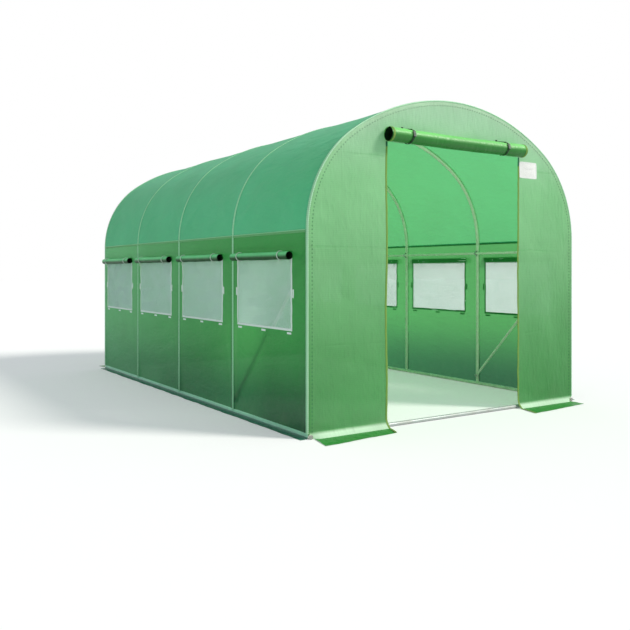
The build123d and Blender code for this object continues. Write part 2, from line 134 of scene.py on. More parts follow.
class DoorSizes(PropertyGroup):
    """The doorway and the flap rolled up over it."""

    width: metres("Width", "Of the doorway", 2 * DOOR_HIGH.x)
    head: metres("Head", "Height of the doorway", DOOR_LOW.z)
    roll_radius: metres("Roll radius", "Of the rolled flap", 0.042)
    roll_length: metres("Roll length", "Of the rolled flap", ROLL_HIGH.x - ROLL_LOW.x)
    turns: IntProperty(name="Turns", description="Of the rolled flap", default=8)
    strap_reach: metres("Strap reach", "From the middle to each strap", 0.405)
    strap: metres("Strap", "Strap width", 0.013)
    binding: metres("Binding", "Width of the bound edges", 0.014)


class Colours(PropertyGroup):
    """The colours of the cover and of the frame."""

    # The roof film is bluer and paler than the side walls': its own green with a painted reflection of
    # the sky mixed in; the light it lets through keeps the plainer green.
    roof: colour("Roof", "Film of the roof", srgb(102, 217, 178))
    roof_light: colour("Roof light", "Light that comes through the roof", srgb(98, 184, 112))
    side: colour("Side walls", "Film of the side walls", srgb(60, 150, 84))
    # Towards the back the side walls turn paler: a painted reflection of the sky, seen at a lower angle
    # there.
    side_far_reflection: colour("Side walls, back", "Film of the side walls towards the back", srgb(142, 226, 168))
    side_light: colour("Side light", "Light that comes through the side walls", srgb(90, 178, 98))
    # Near the ground the side walls are darker, in their film and in the light they let through: painted
    # shade.
    foot_light: colour("Foot light", "Light that comes through near the ground", srgb(34, 108, 66))
    side_shaded_foot: colour("Side foot", "Side walls near the ground", srgb(10, 56, 52))
    # Over the rails the film is paler, partly the white tube showing through and partly a painted
    # highlight where the film turns up to the light; at the side band's lower edge it takes the darker
    # skirt colour, painted shade under the rail.
    band: colour("Foot band", "Band over the side rails", srgb(170, 234, 204))
    end_band: colour("End foot band", "Band over the end rails", srgb(210, 244, 212))
    # The end walls are darker near the ground, painted shade, and paler under the roof, painted light: a
    # glow through the top of the wall and a haze of reflection.
    end: colour("End walls", "Film of the end walls", srgb(166, 220, 170))
    end_lit_crest: colour("End crest", "End walls under the roof", srgb(204, 232, 208))
    end_foot: colour("End foot", "End walls near the ground", srgb(96, 166, 102))
    # The rolled door flap is paler on top and darker underneath: a painted highlight and painted shade.
    flap: colour("Door flap", "The upper side of the rolled door flap", srgb(118, 220, 110))
    flap_shaded_under: colour("Door flap, under", "Its lower side", srgb(18, 118, 26))
    # The rolled window flaps are paler on top and darker underneath: a painted highlight and painted
    # shade.
    window_flap: colour("Window flaps", "The upper side of the rolled window flaps", srgb(106, 224, 142))
    window_shaded_under: colour("Window flaps, under", "Their lower side", srgb(6, 74, 26))
    # The inner turns are near black: painted shade inside the rolls.
    inner: colour("Inner turns", "The inside of the rolled flaps", srgb(14, 44, 24))
    skirt: colour("Skirt", "Film on the ground at the ends", srgb(46, 148, 56))
    side_skirt: colour("Side skirt", "Film on the ground at the sides", srgb(58, 128, 104))
    net: colour("Net", "Threads of the window nets", srgb(230, 248, 244))
    # The window tape is white with a mint tint: the tint is painted green light coming through the wall
    # behind it.
    tape: colour("Tape", "Tape round the windows", srgb(238, 255, 247))
    welt: colour("Welt", "Sewn welts over the hoops", srgb(178, 250, 198))
    cord: colour("Cord", "Piping round the end walls", srgb(188, 240, 198))
    seam: colour("Seam", "Green thread", srgb(50, 128, 88))
    seam_band: colour("Seam band", "Tape of the shoulder seams", srgb(112, 196, 124))
    tie: colour("Tie", "Ties of the window flaps", srgb(234, 255, 238))
    strap: colour("Strap", "Straps of the door flap", srgb(16, 58, 28))
    binding: colour("Binding", "Bound edges of the door", srgb(112, 152, 56))
    label: colour("Label", "The bare label", srgb(238, 239, 236))
    tube: colour("Tube", "Coated steel tubes", srgb(250, 248, 232))
    sill: colour("Threshold", "Tubes across the ends", srgb(176, 184, 182))
    zinc: colour("Zinc", "Bolts, nuts and clamps", srgb(186, 190, 190))
    plastic: colour("Plastic", "Buckles and end caps", srgb(152, 158, 152))


class Film(PropertyGroup):
    """How the film passes light."""

    glow: FloatProperty(
        name="Glow", description="Share of light that the film scatters through", default=0.48
    )
    clear: FloatProperty(
        name="See-through", description="Share of light that passes straight", default=0.05
    )
    grid: metres("Grid", "From one reinforcing thread to the next", 0.011)


class StageLight(PropertyGroup):
    """The studio round the greenhouse."""

    sun: FloatProperty(name="Sun", description="Strength of the key light", default=2.6)
    sky: FloatProperty(name="Sky", description="Strength of the light all round", default=0.5)
    floor: colour("Floor", "The studio floor", (0.8, 0.8, 0.8))


# Shapes

UP, ALONG, ACROSS = (0, 0, 1), (0, 1, 0), (1, 0, 0)


def smooth(value, start, end):
    """0 before start and 1 after end, with an S-shaped cubic between them."""
    share = np.clip((np.asarray(value, float) - start) / (end - start), 0, 1)
    return share * share * (3 - 2 * share)


def steps(stops, gap):
    """Values through every stop, evenly spaced and about one gap apart between two stops."""
    runs = [
        np.linspace(a, b, max(1, round(abs(b - a) / gap)), endpoint=False)
        for a, b in zip(stops, stops[1:])
    ]
    return np.append(np.concatenate(runs), stops[-1])


def waves(a, b, seed, count, shortest, longest):
    """Soft unevenness: the sum of cosine waves of random bearing and length, about -1 to 1."""
    dice = np.random.default_rng(seed)
    bearing = dice.uniform(0, math.pi, count)
    number = 2 * math.pi / dice.uniform(shortest, longest, count)
    start = dice.uniform(0, 2 * math.pi, count)
    total = 0
    for turn, rate, phase in zip(bearing, number, start):
        total = total + np.cos(rate * (a * math.cos(turn) + b * math.sin(turn)) + phase)
    return total / math.sqrt(count)


def crease(a, b, start, end, width):
    """A ridge on the line from start to end: a bell curve across it, a half sine along it."""
    run = (end[0] - start[0], end[1] - start[1])
    length = math.hypot(*run)
    along = ((a - start[0]) * run[0] + (b - start[1]) * run[1]) / length**2
    away = ((a - start[0]) * run[1] - (b - start[1]) * run[0]) / length
    return np.exp(-((away / width) ** 2)) * np.sin(math.pi * np.clip(along, 0, 1)) ** 0.7


def run_along(path):
    """The distance along a path at each of its points."""
    return np.concatenate([[0], np.cumsum(np.linalg.norm(np.diff(path, axis=0), axis=1))])


def strip_uv(around, along, sides=12):
    """The UVs of a loft, in metres round its section and along it."""
    rows = np.concatenate([along[:1], along, along[-1:]])
    return cloth_uv(np.linspace(0, around, sides), rows[:, None])


def cloth_uv(across, along):
    return np.stack(np.broadcast_arrays(across, along), axis=-1)


def bezier(start, pull, lead, end, share):
    """A cubic curve from start to end that leaves towards pull and arrives from lead."""
    back = 1 - share
    return back**3 * start + 3 * share * back**2 * pull + 3 * share**2 * back * lead + share**3 * end


def grid_faces(rows, columns, wrap=False):
    """Corner numbers of the squares of a grid of points; wrap joins the last column to the first."""
    number = np.arange(rows * columns).reshape(rows, columns)
    if wrap:
        number = np.concatenate([number, number[:, :1]], axis=1)
    squares = [number[:-1, :-1], number[:-1, 1:], number[1:, 1:], number[1:, :-1]]
    return np.stack(squares, axis=-1).reshape(-1, 4)


def loft(rings):
    """A closed skin through rings of points: squares from each ring to the next, and the first
    and last rings drawn in to their middles."""
    first = np.broadcast_to(rings[:1].mean(axis=1, keepdims=True), rings[:1].shape)
    last = np.broadcast_to(rings[-1:].mean(axis=1, keepdims=True), rings[-1:].shape)
    rings = np.concatenate([first, rings, last])
    return rings.reshape(-1, 3), grid_faces(rings.shape[0], rings.shape[1], wrap=True)


def unit(vectors):
    return vectors / np.maximum(np.linalg.norm(vectors, axis=-1, keepdims=True), 1e-12)


def directions(path, across):
    """Along each path: the unit tangent, a unit side made square to it from `across`, and their
    cross product."""
    tangent = unit(np.gradient(path, axis=0))
    side = np.broadcast_to(np.asarray(across, float), path.shape)
    side = unit(side - (side * tangent).sum(-1, keepdims=True) * tangent)
    return tangent, side, np.cross(tangent, side)


def round_section(sides):
    """A circle of radius 1 as corner pairs."""
    angle = 2 * math.pi * np.arange(sides) / sides
    return np.stack([np.cos(angle), np.sin(angle)], axis=-1)


def flat_section(width, thick, sides=12, square=0.45):
    """A flat strip's rounded section: cosine and sine raised to a power below one, so that the
    ellipse fills out towards a rectangle."""
    angle = 2 * math.pi * (np.arange(sides) + 0.5) / sides
    x = np.sign(np.cos(angle)) * np.abs(np.cos(angle)) ** square * width / 2
    y = np.sign(np.sin(angle)) * np.abs(np.sin(angle)) ** square * thick / 2
    return np.stack([x, y], axis=-1)


def carried(section, path, across):
    """A section carried along a path: each corner stands off the path along its side and its
    normal, by the corner's two numbers. A section may also change from point to point."""
    _, side, normal = directions(path, across)
    section = np.broadcast_to(section, (len(path),) + section.shape[-2:])
    return path[:, None] + section[..., :1] * side[:, None] + section[..., 1:] * normal[:, None]


def tube(path, radii, across, sides=20):
    """A round bar along a path, its radius given for every point of the path."""
    radii = np.broadcast_to(np.asarray(radii, float), (len(path),))
    return loft(carried(round_section(sides)[None] * radii[:, None, None], path, across))


def turned(centre, axis, across, profile, sides=16):
    """A turned part: profile gives pairs of distance along the axis and radius."""
    profile = np.asarray(profile, float)
    path = np.asarray(centre) + profile[:, :1] * np.asarray(axis, float)
    side = np.asarray(across, float)
    other = np.cross(axis, side)
    circle = round_section(sides)
    ring = circle[:, :1] * side + circle[:, 1:] * other
    return loft(path[:, None] + profile[:, 1:, None] * ring[None])


def bars(middles, side, up, half_side, half_up):
    """Many four-sided bars at once: four corners round each middle, at plus and minus half_side
    and half_up, joined ring to ring and closed at both ends. Middles is bars by rings by 3."""
    count, rings = middles.shape[:2]
    side = np.broadcast_to(np.asarray(side, float), middles.shape)
    up = np.broadcast_to(np.asarray(up, float), middles.shape)
    wide = np.broadcast_to(np.asarray(half_side, float), (rings,))[:, None]
    high = np.broadcast_to(np.asarray(half_up, float), (rings,))[:, None]
    corners = np.stack(
        [middles + x * wide * side + y * high * up for x, y in ((-1, -1), (1, -1), (1, 1), (-1, 1))],
        axis=2,
    )
    ring = np.arange(rings * 4).reshape(rings, 4)
    turn = np.roll(ring, -1, axis=1)
    walls = np.stack([ring[:-1], turn[:-1], turn[1:], ring[1:]], axis=-1).reshape(-1, 4)
    faces = np.concatenate([walls, ring[:1, ::-1], ring[-1:]])
    run = middles[:, -1] - middles[:, 0]
    if (np.cross(side[:, 0], up[:, 0]) * run).sum() < 0:
        faces = faces[:, ::-1]
    start = np.arange(count)[:, None, None] * (rings * 4)
    return corners.reshape(-1, 3), (start + faces).reshape(-1, 4)


# Half widths and half heights of a stitch, at its two ends and in its middle
CORNER_STITCH = ((0.0003, 0.0007, 0.0003), (0.0003, 0.0006, 0.0003))
SEAM_STITCH = ((0.0003, 0.0005, 0.0003), (0.0002, 0.0005, 0.0002))
TAPE_STITCH = ((0.0002, 0.0004, 0.0002), (0.0001, 0.0003, 0.0001))
JAMB_STITCH = ((0.0002, 0.0004, 0.0002), (0.0001, 0.0004, 0.0001))
LABEL_STITCH = ((0.0002, 0.0003, 0.0002), (0.0001, 0.0003, 0.0001))
LIP = 0.0006
WELT_FACE, WELT_GIRTH = 0.0021, 0.03
SHARP, MERGE = math.radians(40), 2e-6


def stitches(marks, length):
    """Each stitch's two ends and middle, from the places of the stitches along a row."""
    return marks[:, None] + np.array((-0.5, 0.0, 0.5)) * length


def flat_strip(path, width, thick, across, square=0.45, sides=12):
    """A flat strip along a path."""
    return loft(carried(flat_section(width, thick, sides, square), path, across))


def cut_tube(start, end, radius, across, sides):
    """A straight round bar with a small lip at each end."""
    start, end = np.array(start, float), np.array(end, float)
    step = LIP * unit(end - start)
    path = np.array([start, start + step, end - step, end])
    return tube(path, [radius - LIP, radius, radius, radius - LIP], across, sides)


ARCH_STEP = 0.024
INSIDE, END_INSIDE = (0, 0, 0.6), (0, 0, 1)


def outwards(points, faces, away):
    """The faces, turned over if their normals point at `away`, a point inside or behind them."""
    corner = points[faces]
    normal = np.cross(corner[:, 2] - corner[:, 0], corner[:, 3] - corner[:, 1])
    if (normal * (corner.mean(axis=1) - np.asarray(away, float))).sum() < 0:
        return faces[:, ::-1]
    return faces


class Heap:
    """Grids gathered into one mesh, with a UV pair for each point, in metres on the cloth, and
    a finish for each face."""

    def __init__(self):
        self.points, self.faces, self.uv, self.finish = [], [], [], []
        self.count = 0

    def add(self, shape, uv=None, finish=0):
        points, faces = shape
        self.points.append(points)
        self.faces.append(faces + self.count)
        self.uv.append(np.zeros((len(points), 2)) if uv is None else uv.reshape(-1, 2))
        self.finish.append(np.broadcast_to(np.asarray(finish, int), (len(faces),)))
        self.count += len(points)
        return self

    def build(self, name, materials, slot, nodes=(), solid=True, weld=True):
        """Makes the piece, rides it on the frame and lets it stand for the named CAD nodes.
        Solid pieces get their normals recalculated once their doubles are merged."""
        points, faces = np.concatenate(self.points), np.concatenate(self.faces)
        uv, finish = np.concatenate(self.uv), np.concatenate(self.finish)
        mesh = bpy.data.meshes.new(name)
        mesh.vertices.add(len(points))
        mesh.vertices.foreach_set("co", points.astype(np.float32).ravel())
        mesh.loops.add(faces.size)
        mesh.loops.foreach_set("vertex_index", faces.astype(np.int32).ravel())
        mesh.polygons.add(len(faces))
        mesh.polygons.foreach_set("loop_start", np.arange(0, faces.size, 4, dtype=np.int32))
        mesh.polygons.foreach_set("material_index", finish.astype(np.int32))
        mesh.update(calc_edges=True)
        layer = mesh.uv_layers.new(name="Cloth")
        layer.data.foreach_set("uv", uv[faces.ravel()].astype(np.float32).ravel())
        for material in materials:
            mesh.materials.append(material)
        if weld:
            work = bmesh.new()
            work.from_mesh(mesh)
            bmesh.ops.remove_doubles(work, verts=work.verts, dist=MERGE)
            if solid:
                bmesh.ops.recalc_face_normals(work, faces=work.faces)
            work.to_mesh(mesh)
            work.free()
        mesh.validate()
        mesh.polygons.foreach_set("use_smooth", np.ones(len(mesh.polygons), dtype=bool))
        mesh.set_sharp_from_angle(angle=SHARP)
        piece = bpy.data.objects.new(name, mesh)
        bpy.context.scene.collection.objects.link(piece)
        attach(piece, "root")
        if nodes:
            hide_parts(*nodes)
        return piece


# From the outside of the film to the legs, and how high the end walls' foot starts to run out
FILM_GAP, FOOT_RISE = 0.0023, 0.055


class Outline:
    """The cross-section over the film. A run is measured on the film from the crown, negative
    to the left: along the crown arc, then the shoulder arc that meets it without a corner, then
    down the straight wall."""

    def __init__(self, sizes):
        self.half = sizes.width / 2
        self.spring = sizes.spring
        self.shoulder = sizes.shoulder
        self.aside = self.half - self.shoulder
        rise = sizes.height - self.spring
        gain = rise - self.shoulder
        self.crown = (self.aside**2 + rise**2 - self.shoulder**2) / (2 * gain)
        self.centre = sizes.height - self.crown
        self.crown_turn = math.atan2(self.aside, self.spring - self.centre)
        self.crown_run = self.crown * self.crown_turn
        self.spring_run = self.crown_run + self.shoulder * (math.pi / 2 - self.crown_turn)
        self.length = sizes.length
        self.edge = sizes.edge
        self.roof_sag = sizes.roof_sag
        self.wall_sag = sizes.wall_sag
        self.foot = sizes.foot
        self.tube = sizes.tube / 2
        self.leg_x = self.half - FILM_GAP - self.tube

    def wall_run(self, height):
        """The run of a point on the straight wall at this height."""
        return self.spring_run + self.spring - np.asarray(height, float)

    def turn(self, run):
        """How far the outline has turned from level at this run."""
        far = np.abs(run)
        late = self.crown_turn + (far - self.crown_run) / self.shoulder
        angle = np.where(far <= self.crown_run, far / self.crown, np.minimum(late, math.pi / 2))
        return np.sign(run) * angle

    def at(self, run, out=0.0):
        """Across and up of the point at this run, `out` outside the film: the arc's centre plus
        its radius and `out` in the direction of the turn, less the drop down the wall."""
        run = np.asarray(run, float)
        far, angle = np.abs(run), np.abs(self.turn(run))
        crown = far <= self.crown_run
        reach = np.where(crown, self.crown, self.shoulder) + out
        across = np.where(crown, 0, self.aside) + reach * np.sin(angle)
        up = np.where(crown, self.centre, self.spring) + reach * np.cos(angle)
        return np.sign(run) * across, up - np.maximum(far - self.spring_run, 0)

    def place(self, run, y, out=0.0):
        """Points on the tunnel, lifted by how its film lies there."""
        run, y, out = np.broadcast_arrays(run, y, out)
        x, z = self.at(run, out + self.lie(run, y))
        return np.stack([x, y, z], axis=-1)

    def bay(self, y):
        """0 at every hoop and 1 midway between two: a parabola over each bay."""
        share = (y - HOOP_YS[0]) / (HOOP_YS[1] - HOOP_YS[0])
        inside = (share > 0) & (share < len(HOOP_YS) - 1)
        share = share - np.floor(share)
        return np.where(inside, 4 * share * (1 - share), 0.0)

    def lie(self, run, y):
        """How far the film lies outside the hoops' line: it dips between hoops, has soft folds
        there, is drawn in over the base rail, flares out at the ground and rounds off over the
        end hoops."""
        far = np.abs(run)
        height = self.spring - np.maximum(far - self.spring_run, 0)
        bay = self.bay(y)
        on_roof = smooth(far, self.spring_run + 0.05, self.spring_run - 0.25)
        window = smooth(height, 0.5, 0.62) * (1 - on_roof) * 0.6
        depth = self.wall_sag * (1 - window) + (self.roof_sag - self.wall_sag) * on_roof
        folds = waves(run, y, 11, 9, 0.25, 0.7)
        ripples = waves(run * 2.2, y, 23, 7, 0.16, 0.34)
        out = -depth * bay * (1 + 0.35 * folds) + 0.0011 * ripples * np.minimum(bay * 2.5, 1)
        taut = np.minimum(bay * 3, 1)
        shoulder, deep = self.spring_run + 0.02, 0.003
        for hoop in HOOP_YS:
            pull = crease(far, y, (shoulder, hoop), (self.spring_run - 0.34, hoop + 0.3), 0.02)
            push = crease(far, y, (shoulder, hoop), (self.spring_run - 0.3, hoop - 0.3), 0.02)
            foot, end = (self.wall_run(0.05), hoop), (self.wall_run(0.56), hoop + 0.14)
            low = crease(far, y, foot, end, 0.018)
            out = out + (deep * pull + deep * push - deep * low) * taut
        wall = far > self.spring_run
        drawn = 0.008 * np.minimum(bay * 4, 1) * smooth(height, 0.4, 0.03)
        out = np.where(wall, out * smooth(height, 0.0, 0.12) - drawn, out)
        drop = np.clip(height, 0, 2 * self.tube) - self.tube
        round_tube = self.leg_x + np.sqrt(np.maximum(self.tube**2 - drop**2, 0)) + 0.0015 - self.half
        over_rail = np.where(
            height < self.tube,
            round_tube.max(initial=-1) + 0.012 * (1 - np.clip(height, 0, self.tube) / self.tube) ** 2,
            round_tube,
        )
        low_wall = wall & (height < 2 * self.tube)
        out = np.where(low_wall, np.maximum(out, over_rail), out)
        inset = np.clip(self.length / 2 - np.abs(y), 0, self.edge)
        corner = self.edge - np.sqrt(self.edge**2 - (self.edge - inset) ** 2)
        return out - corner


# Creases of the end walls: depth, two ends as across and up, and width
FRONT_CREASES = [
    (-0.0022, (half * 0.5, height), (half * 1.16, height + 0.012), 0.009)
    for height in (1.105, 0.93)
    for half in (-1, 1)
] + [
    (0.003, (-0.57, 1.7), (-0.86, 1.5), 0.022),
    (0.003, (0.57, 1.7), (0.9, 1.45), 0.022),
    (0.0025, (0.62, 0.78), (1.1, 1.12), 0.03),
    (-0.0025, (-0.6, 0.6), (-1.1, 0.95), 0.03),
]
BACK_CREASES = [
    (-0.003, (-1.1, 1.0), (1.1, 1.0), 0.012),
    (-0.003, (0.02, 0.1), (0.0, 1.9), 0.012),
]


def face_lie(outline, x, z, front=True):
    """How far an end wall's film lies outside its plane: a slight belly away from its edges,
    soft folds, the creases of its packing, and a foot that runs out over the rail."""
    beyond = np.maximum(np.abs(x) - outline.aside, 0)
    roof = outline.spring + np.sqrt(np.maximum(outline.shoulder**2 - beyond**2, 0))
    edge = np.minimum(outline.half - np.abs(x), np.maximum(roof, outline.spring) - z)
    free = smooth(edge, 0.0, 0.22) * smooth(z, 0.0, 0.2)
    seed = 31 if front else 57
    belly, pucker = 0.0045, 0.001
    out = belly * free * waves(x * 1.6, z, seed, 8, 0.35, 0.9)
    out = out + pucker * smooth(edge, 0.0, 0.06) * waves(x, z * 1.4, seed + 1, 8, 0.1, 0.26)
    for depth, start, end, width in FRONT_CREASES if front else BACK_CREASES:
        out = out + depth * crease(x, z, start, end, width)
    return out + foot_run(outline, x, z)


def foot_run(outline, x, z):
    """How far the foot of an end wall runs out: a parabola, less at the corners."""
    rise = np.clip(1 - np.asarray(z, float) / FOOT_RISE, 0, 1) ** 2
    return outline.foot * rise * smooth(np.abs(x), outline.half - 0.01, outline.half - 0.07)


# Node trees

WHITE = (1, 1, 1, 1)


def put(tree, kind, inputs=None, **settings):
    """Adds a node, with its settings, and gives its inputs a value or a link."""
    node = tree.nodes.new(kind)
    for name, value in settings.items():
        setattr(node, name, value)
    for name, value in (inputs or {}).items():
        socket = node.inputs[name]
        if isinstance(value, bpy.types.NodeSocket):
            tree.links.new(value, socket)
        else:
            socket.default_value = value
    return node


def sums(tree, operation, first, second=0.0, third=0.0, clamp=False):
    values = {0: first, 1: second, 2: third}
    return put(tree, "ShaderNodeMath", values, operation=operation, use_clamp=clamp).outputs[0]


def between(tree, value, low, high, to_low=0.0, to_high=1.0):
    values = {"Value": value, "From Min": low, "From Max": high, "To Min": to_low, "To Max": to_high}
    return put(tree, "ShaderNodeMapRange", values, interpolation_type="SMOOTHSTEP").outputs[0]


def mixed(tree, share, first, second):
    return put(tree, "ShaderNodeMix", {0: share, 6: first, 7: second}, data_type="RGBA").outputs[2]


def noise(tree, vector, scale, detail):
    values = {"Vector": vector, "Scale": scale, "Detail": detail}
    return put(tree, "ShaderNodeTexNoise", values).outputs["Fac"]


def apart(tree, vector):
    return put(tree, "ShaderNodeSeparateXYZ", {0: vector}).outputs


def scaled(tree, tone, light):
    values = {0: tone, "Scale": light}
    return put(tree, "ShaderNodeVectorMath", values, operation="SCALE").outputs[0]


def bumped(tree, strength, distance, height, **normal):
    values = {"Strength": strength, "Distance": distance, "Height": height, **normal}
    return put(tree, "ShaderNodeBump", values).outputs[0]


def woven_nodes(tree, given):
    """Threads both ways: thin bright lines at the grid's pitch, a finer weave between them, and
    cloudy changes of tone."""
    parts = apart(tree, given["Vector"])
    lines, fine = [], []
    for axis in (0, 1):
        turn = sums(tree, "DIVIDE", parts[axis], given["Pitch"])
        lines.append(between(tree, sums(tree, "PINGPONG", turn, 0.5), 0.0, 0.17, 1.0, 0.0))
        fine.append(sums(tree, "PINGPONG", sums(tree, "MULTIPLY", turn, 5.0), 0.5))
    grid = sums(tree, "MAXIMUM", *lines)
    weave = sums(tree, "MULTIPLY", *fine)
    cloud = between(tree, noise(tree, given["Vector"], 2.6, 4.0), 0.3, 0.7, 0.93, 1.06)
    slub = sums(tree, "MULTIPLY_ADD", noise(tree, given["Vector"], 55.0, 2.0), 0.08, -0.04)
    bright = sums(tree, "MULTIPLY", grid, given["Contrast"])
    light = sums(tree, "MULTIPLY_ADD", bright, 1.0, sums(tree, "ADD", cloud, slub))
    height = sums(tree, "MULTIPLY_ADD", grid, 0.8, sums(tree, "MULTIPLY", weave, 0.8))
    return {"Color": scaled(tree, given["Color"], light), "Height": height}


def crease_nodes(tree, given):
    """Fine creases of thin film: ridges of stretched noise in two leans, and small puckers."""
    total = None
    for turn, stretch, scale in ((0.5, 3.2, 4.0), (-0.7, 2.6, 6.5), (0.1, 1.4, 17.0)):
        lean = {"Vector": given["Vector"], "Rotation": (0, 0, turn), "Scale": (stretch, 1, 1)}
        cloud = noise(tree, put(tree, "ShaderNodeMapping", lean).outputs[0], scale, 3.0)
        ridge = sums(tree, "ABSOLUTE", sums(tree, "SUBTRACT", cloud, 0.5))
        ridge = sums(tree, "MULTIPLY", between(tree, ridge, 0.0, 0.16, 1.0, 0.0), 1.6 / scale)
        total = ridge if total is None else sums(tree, "ADD", total, ridge)
    return {"Height": total}


def packing_nodes(tree, given):
    """Folds left by packing: thin lines at even spacings both ways, bent a little by noise and
    fading in and out along their length."""
    wobble = noise(tree, given["Vector"], 1.7, 2.0)
    fade = noise(tree, given["Vector"], 4.5, 1.0)
    parts = apart(tree, given["Vector"])
    lines = []
    for axis, label in ((0, "Across"), (1, "Up")):
        spot = sums(tree, "MULTIPLY_ADD", wobble, 0.07, parts[axis])
        near = sums(tree, "PINGPONG", sums(tree, "DIVIDE", spot, given[label]), 0.5)
        near = sums(tree, "MULTIPLY", near, given[label])
        lines.append(between(tree, near, 0.0, 0.011, 1.0, 0.0))
    fade = between(tree, fade, 0.35, 0.6)
    return {"Mask": sums(tree, "MULTIPLY", sums(tree, "MAXIMUM", *lines), fade)}


def webbing_nodes(tree, given):
    """Ribs of a woven tape: a wave across it for each rib, a finer one along it, and fuzz."""
    parts = apart(tree, given["Vector"])
    rib = sums(tree, "PINGPONG", sums(tree, "DIVIDE", parts[1], given["Pitch"]), 0.5)
    pitch = sums(tree, "MULTIPLY", given["Pitch"], 0.6)
    thread = sums(tree, "PINGPONG", sums(tree, "DIVIDE", parts[0], pitch), 0.5)
    fuzz = sums(tree, "MULTIPLY", noise(tree, given["Vector"], 180.0, 3.0), 0.3)
    height = sums(tree, "ADD", sums(tree, "ADD", rib, thread), fuzz)
    # Colour follows the rib height: raised ribs paler, the hollows between them darker as painted shade.
    light = between(tree, height, 0.2, 1.1, 0.82, 1.12)
    return {"Color": scaled(tree, given["Color"], light), "Height": height}


def wear_nodes(tree, given):
    """Handling marks: cloudy patches of tone and roughness, and dust that gathers lower down."""
    patch = between(tree, noise(tree, given["Vector"], 9.0, 5.0), 0.42, 0.72)
    speck = noise(tree, given["Vector"], 140.0, 2.0)
    low = between(tree, apart(tree, given["Vector"])[2], 0.0, 0.35, 1.0, 0.0)
    dust = sums(tree, "MULTIPLY", sums(tree, "MULTIPLY_ADD", low, 0.6, 0.25), patch)
    dust = sums(tree, "MULTIPLY", dust, given["Amount"], clamp=True)
    rough = sums(tree, "MULTIPLY_ADD", dust, 0.3, sums(tree, "MULTIPLY", speck, 0.12))
    return {"Dust": dust, "Rough": rough, "Speck": speck}


# Each node group's nodes, its inputs with their defaults, and its outputs
NODE_GROUPS = {
    "Woven film": (
        woven_nodes,
        {"Vector": None, "Color": (0.2, 0.5, 0.25, 1), "Pitch": 0.011, "Contrast": 0.12},
        ("Color", "Height"),
    ),
    "Film creases": (crease_nodes, {"Vector": None}, ("Height",)),
    "Packing folds": (packing_nodes, {"Vector": None, "Across": 0.6, "Up": 0.43}, ("Mask",)),
    "Webbing": (
        webbing_nodes,
        {"Vector": None, "Color": (0.5, 0.5, 0.5, 1), "Pitch": 0.002},
        ("Color", "Height"),
    ),
    "Dust and handling": (wear_nodes, {"Vector": None, "Amount": 0.4}, ("Dust", "Rough", "Speck")),
}
SOCKETS = {"Vector": "NodeSocketVector", "Color": "NodeSocketColor"}


def node_group(name):
    """The named node group, built once."""
    if name in bpy.data.node_groups:
        return bpy.data.node_groups[name]
    fill, inputs, outputs = NODE_GROUPS[name]
    tree = bpy.data.node_groups.new(name, "ShaderNodeTree")
    for label, value in inputs.items():
        kind = SOCKETS.get(label, "NodeSocketFloat")
        socket = tree.interface.new_socket(label, in_out="INPUT", socket_type=kind)
        if value is not None:
            socket.default_value = value
    for label in outputs:
        kind = SOCKETS.get(label, "NodeSocketFloat")
        tree.interface.new_socket(label, in_out="OUTPUT", socket_type=kind)
    source = tree.nodes.new("NodeGroupInput")
    sink = tree.nodes.new("NodeGroupOutput")
    for label, socket in fill(tree, source.outputs).items():
        tree.links.new(socket, sink.inputs[label])
    return tree


def grouped(tree, name, inputs):
    return put(tree, "ShaderNodeGroup", inputs, node_tree=node_group(name)).outputs


# Finishes

NO_FOLDS = (5, 5, 0)
FILM_DUST, TAPE_DUST, METAL_DUST = srgb(168, 176, 150), srgb(150, 150, 128), srgb(150, 140, 118)


def solid(value):
    return (*value, 1.0)


def fresh(name):
    """A new material with an empty tree."""
    material = bpy.data.materials.new(name)
    material.use_nodes = True
    material.node_tree.nodes.clear()
    return material, material.node_tree


def on_object(tree):
    return put(tree, "ShaderNodeTexCoord").outputs["Object"]


def on_cloth(tree):
    return put(tree, "ShaderNodeUVMap", uv_map="Cloth").outputs[0]


def shown(material, tree, shader):
    put(tree, "ShaderNodeOutputMaterial", {"Surface": shader})
    return material


def blend(tree, share, first, second):
    return put(tree, "ShaderNodeMixShader", {0: share, 1: first, 2: second}).outputs[0]


def worn(tree, spot, amount):
    return grouped(tree, "Dust and handling", {"Vector": spot, "Amount": amount})


def coat(tree, marks, share, dust, tone, rough, normal, clamp=True, **more):
    """A principled surface with dust and handling marks in its colour and its roughness."""
    dusty = mixed(tree, sums(tree, "MULTIPLY", marks["Dust"], share), tone, solid(dust))
    roughness = sums(tree, "ADD", rough, marks["Rough"], clamp=clamp)
    values = {"Base Color": dusty, "Roughness": roughness, "Normal": normal, **more}
    return put(tree, "ShaderNodeBsdfPrincipled", values).outputs[0]


